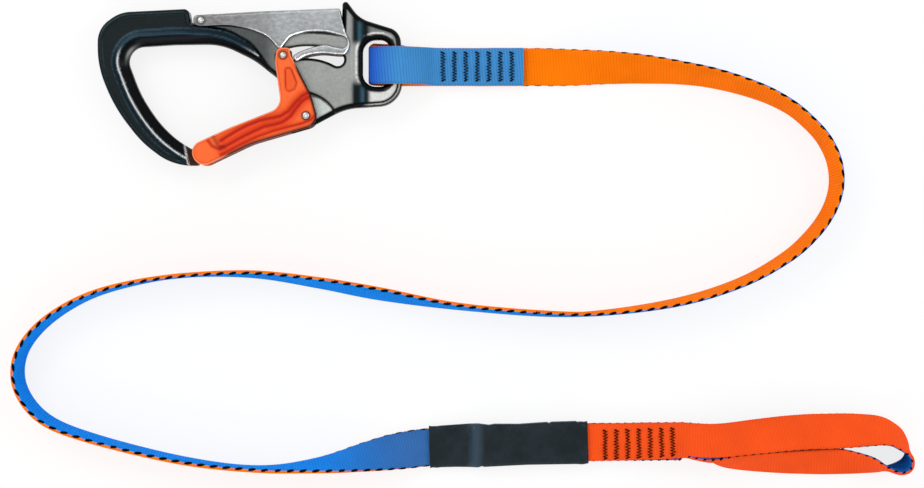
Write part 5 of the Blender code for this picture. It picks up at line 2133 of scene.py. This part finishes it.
@dataclass
class Strap:
    """The webbing: sewn eye on the ring's bar, free run and hand loop."""

    step: float = 0.00045

    def run_line(self) -> StrapLine:
        """Line of the free run, its last stretch inside the sleeve."""
        rows = [(x, y, STRAP.edge_height(roll), roll) for x, y, roll in RUN_ROUTE]
        x, y, _, roll = rows[-1]
        rows[-1] = (x, y, STRAP.sleeve_floor, roll)
        inside = STRAP.in_sleeve(STRAP.split - STRAP.gap)
        rows.append((inside.x, inside.y, STRAP.sleeve_floor, 180.0))
        curve = through(rows)
        curve[0, 0] = STRAP.start_x
        return StrapLine.rolled(spaced_rows(curve, self.step))

    def loop_line(self) -> StrapLine:
        """Line of the hand loop, from inside the sleeve round and back into it."""
        length, start, size = STRAP.sleeve_length, STRAP.stack_start, STRAP.stack_length
        lower, upper = [], []
        for along in (STRAP.split, (length + STRAP.split) / 2, length - 0.002):
            spot = STRAP.in_sleeve(along)
            lower.append((spot.x, spot.y, STRAP.sleeve_floor, 180.0))
        for k in range(6):
            below, above, _ = STRAP.stacked(start + size * k / 5)
            lower.append(below)
            upper.insert(0, above)
        for along in (length - 0.002, (length + STRAP.tail) / 2, STRAP.tail):
            spot = STRAP.in_sleeve(along)
            upper.append((spot.x, spot.y, STRAP.sleeve_floor + STRAP.stack, 0.0))
        bend = through([lower[-1], *LOOP_ROUTE, upper[0]])
        return StrapLine.rolled(spaced_rows(np.concatenate([lower[:-1], bend, upper[1:]]), self.step))

    def eye_line(self) -> StrapLine:
        """Line of the sewn eye: under the ring's bar, round it and back over the lower layer."""
        bar, mid, lying, stack = STRAP.bar_x, STRAP.hook_middle, STRAP.lying, STRAP.stack
        reach, fold = STRAP.bar_loop + STRAP.thick / 2, STRAP.fold_x
        route = [
            (STRAP.start_x, lying),
            (0.104, lying),
            (0.090, lying),
            (0.079, lying + 0.0002),
            (bar + 0.003, mid - reach + 0.0001),
            (bar, mid - reach),
            (bar - 0.0044, mid - reach + 0.0005),
            (fold + 0.0032, mid - 0.0045),
            (fold + 0.0006, mid - 0.002),
            (fold, mid),
            (fold + 0.0006, mid + 0.002),
            (fold + 0.0032, mid + 0.0045),
            (bar - 0.0044, mid + reach - 0.0005),
            (bar, mid + reach),
            (bar + 0.0036, mid + reach - 0.0006),
            (0.0785, mid + 0.0019),
            (0.0845, lying + stack + 0.001),
            (0.090, lying + stack),
            (0.104, lying + stack),
            (0.1272, lying + stack),
        ]
        return StrapLine.upright(spaced_rows(through(route), self.step, 2), STRAP.eye_y)

    def build_cords(self) -> None:
        self.run, self.loop = self.run_line(), self.loop_line()
        run = Ribbon(self.run).build("free_run_webbing")
        dress(run, RUN_WEBBING, Body.TETHER, Slot.WEBBING, "strap_run")
        loop = Ribbon(self.loop).build("hand_loop_webbing")
        dress(loop, LOOP_WEBBING, Body.TETHER, Slot.WEBBING, "strap_end_loop")
        for piece, line in ((run, self.run), (loop, self.loop)):
            length = float(line.travel()[-1])
            LOG.info("%s: %.3f m long", piece.name, length)
            path = line.places[::8].tolist() + [line.places[-1].tolist()]

    def build_eye(self) -> None:
        """Make the sewn eye."""
        line = self.eye_line()
        length = float(line.travel()[-1])
        rows = StrapLine(line.places[::-1], line.across[::-1], line.face[::-1])
        under = 1.0 - step_up((rows.places[:, 2] - STRAP.bar_loop) / 0.004)
        at_bar = 1.0 - step_up((rows.places[:, 0] - STRAP.bar_x) / 0.009)
        rows.places[:, 1] += 0.0008 * under * at_bar
        eye = Ribbon(rows, start=-length, swell=under * (0.0001 + 0.001 * at_bar)).build("hook_eye_webbing")
        dress(eye, EYE_WEBBING, Body.TETHER, Slot.WEBBING, "strap_hook_eye")

    def build_tracers(self) -> None:
        """Lay the tracer yarn on both selvedges of the free stretches."""
        coarse, fine = Tracers(), Tracers(pitch=0.0038, length=0.0017, wide=0.001)
        for name, line, tracers in (("run", self.run, coarse), ("loop", self.loop, fine)):
            for side, top in (("upper", True), ("lower", False)):
                piece = tracers.along(f"{name}_tracer_{side}", line, top)
                dress(piece, THREAD_BLACK, Body.TETHER, Slot.THREAD)


@dataclass
class ShrinkSleeve:
    """Shrink tube over the folded-back end, with a step where the second layer starts and creases."""

    rings: int = 150
    sides: int = 56
    step_at: float = 0.022
    step_length: float = 0.0045
    single: float = 0.0046
    double: float = 0.0073
    corner: float = 0.0019
    left_edge: tuple = (
        (0.0, 19.7, 23.0, 30.6, 42.0, 55.2, 57.2, 68.6, 69.6, 73.9),
        (0.0, 0.8, 0.8, -0.4, 0.0, 0.5, -0.5, -0.5, 0.0, 0.0),
    )
    right_edge: tuple = ((0.0, 12.0, 22.6, 25.4, 29.0, 45.0, 73.9), (0.0, -0.1, -0.5, 0.4, 0.3, 0.0, -0.45))

    def crease(self, along: float, side: float) -> float:
        """Height of the upper face's fine creases, its step's fold and the ridge before it."""
        u, v = along / MM, side / MM
        folds = 0.00011 * math.sin(u * 0.83 + 1.7 * math.sin(v * 0.35)) * math.cos(v * 0.21 + u * 0.11)
        folds += 0.00008 * math.sin(u * 1.9 + v * 0.5) * math.sin(u * 0.23 + 0.8)
        folds -= 0.00022 * math.exp(-(((u - 24.4 + 0.16 * v) / 0.7) ** 2))
        return folds + 0.0002 * math.exp(-(((u - 20.9 + 0.1 * v) / 1.1) ** 2))

    def ring(self, along: float, inward: float) -> Rows:
        """Places round the tube at a distance along it.

        Args:
            along: Distance from its start.
            inward: How far inside the outer face.

        Returns:
            The ring's places.
        """
        share = float(step_up(np.array((along - self.step_at) / self.step_length + 1.0)))
        top = self.single + (self.double - self.single) * share - inward
        half = STRAP.width / 2 + STRAP.gap + STRAP.sleeve_wall - inward
        low, radius = 0.00006 + inward, self.corner - inward * 0.5
        end = min(along, STRAP.sleeve_length - along)
        flare = 0.00025 * math.exp(-((end / 0.0012) ** 2))
        flare -= 0.0002 * math.exp(-(((end - 0.003) / 0.0015) ** 2))
        made = []
        for k in range(self.sides):
            angle = 2 * math.pi * (k + 0.5) / self.sides
            c, s = math.cos(angle), math.sin(angle)
            side = math.copysign(abs(c) ** 0.34, c) * (half - radius * 0.15 * (1 - abs(s)))
            rise = math.copysign(abs(s) ** 0.5, s)
            z = (low + top) / 2 + rise * (top - low) / 2
            crease = self.crease(along, side) * (0.35 + 0.65 * max(s, 0.0)) if s > -0.1 else 0.0
            spots, moves = self.left_edge if side > 0.0 else self.right_edge
            swell = float(np.interp(along / MM, spots, moves)) * MM * (1.0 if inward == 0.0 else 0.3)
            base = STRAP.in_sleeve(along, side + math.copysign((flare + swell) * abs(c), c))
            made.append((base.x, base.y, max(z + crease + flare * s, low)))
        return np.array(made)

    def build(self) -> None:
        """Make the closed tube and dress it."""
        spots = [STRAP.sleeve_length * k / self.rings for k in range(self.rings + 1)]
        outside = [self.ring(along, 0.0) for along in spots]
        inside = [self.ring(along, STRAP.sleeve_wall * 0.8) for along in reversed(spots)]
        loops = outside + inside
        size, count = self.sides, len(loops)
        polygons = []
        for i in range(count):
            for j in range(size):
                k, n = (j + 1) % size, (i + 1) % count
                polygons.append((i * size + j, i * size + k, n * size + k, n * size + j))
        made = mesh_object("sleeve_tube", np.concatenate(loops), polygons, 50.0)
        dress(made, SLEEVE_TUBE, Body.TETHER, Slot.SLEEVE, "shrink_sleeve")


# The studio


@dataclass
class Studio:
    """Camera at the photograph's angle, soft lamps and a plain white floor."""

    eye: tuple[float, float, float] = (0.0984, -0.0744, 1.1)
    lens: float = 91.42
    world: float = 0.85
    floor_half: float = 2.0
    floor_level: float = -0.0001

    def build_camera(self) -> None:
        """Set the camera straight above the tether."""
        data = bpy.data.cameras.new("photo_camera")
        data.lens = self.lens
        data.sensor_width = 36.0
        data.clip_end = 20.0
        camera = plain_object("photo_camera", data)
        camera.location = self.eye
        bpy.context.scene.camera = camera

    def lamp(self, name: str, place: Corner, aim: Corner, size: Sequence[float], power: float) -> None:
        """Add a soft rectangular lamp.

        Args:
            name: Name of the lamp.
            place: Where it hangs.
            aim: What it points at.
            size: Its width and height.
            power: Watts.
        """
        data = bpy.data.lights.new(name, "AREA")
        data.shape = "RECTANGLE"
        data.size, data.size_y = size
        data.energy = power
        lamp = plain_object(name, data)
        lamp.location = place
        way = Vector(aim) - Vector(place)
        lamp.rotation_euler = way.to_track_quat("-Z", "Y").to_euler()

    def build(self) -> None:
        """Light the floor and the tether."""
        world = bpy.data.worlds.new("studio_light")
        world.use_nodes = True
        world.node_tree.nodes.clear()
        graph = Graph(world.node_tree)
        seen = graph.node("ShaderNodeLightPath").outputs["Is Camera Ray"]
        level = Value(graph, seen) * (1.0 - self.world) + self.world
        back = graph.node("ShaderNodeBackground", {}, {"Color": (1.0, 1.0, 1.0, 1.0), "Strength": level})
        graph.node("ShaderNodeOutputWorld", {}, {"Surface": back.outputs[0]})
        bpy.context.scene.world = world
        self.lamp("key_softbox", (-0.5, 0.55, 0.9), (0.05, -0.05, 0.0), (0.7, 0.35), 3.2)
        self.lamp("side_softbox", (0.85, 0.2, 0.6), (0.05, 0.0, 0.0), (0.3, 0.8), 1.4)
        self.lamp("low_strip", (-0.2, -0.8, 0.45), (0.0, -0.05, 0.0), (0.9, 0.12), 1.0)
        half, corners = self.floor_half, ((-1, -1), (1, -1), (1, 1), (-1, 1))
        places = [(half * x, half * y, self.floor_level) for x, y in corners]
        mesh = bpy.data.meshes.new("white_floor")
        mesh.from_pydata(places, [], [(0, 1, 2, 3)])
        mesh.materials.append(FLOOR_WHITE.material())
        floor = plain_object("white_floor", mesh)
        bpy.context.scene.view_settings.view_transform = "Standard"


def main() -> None:
    """Build the tether in order: camera, cords, hook, stitching, sleeve and studio."""
    logging.basicConfig(level=logging.INFO, format="%(name)s: %(message)s")
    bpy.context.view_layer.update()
    studio = Studio()
    studio.build_camera()
    strap = Strap()
    strap.build_cords()
    strap.build_eye()
    HookBody().build()
    lever_look = (SATIN_SHEET, Body.LEVER, Slot.SATIN, "palm_lever", (0.3, 0.31, 0.32))
    PalmLever("lever_sheet", HOOK.lever_inner, HOOK.lever_outer, *lever_look).build()
    # The gate's web is painted dark red, as shade on the fold along its lower edge.
    gate_look = (ORANGE_SHEET, Body.GATE, Slot.ORANGE, "gate", (0.16, 0.014, 0.006))
    Gate("gate_sheet", HOOK.gate_inner, HOOK.gate_outer, *gate_look).build()
    Rivets().build()
    InnerWorks().build()
    BarTacks().build()
    strap.build_tracers()
    ShrinkSleeve().build()
    studio.build()


if __name__ == "__main__":
    main()
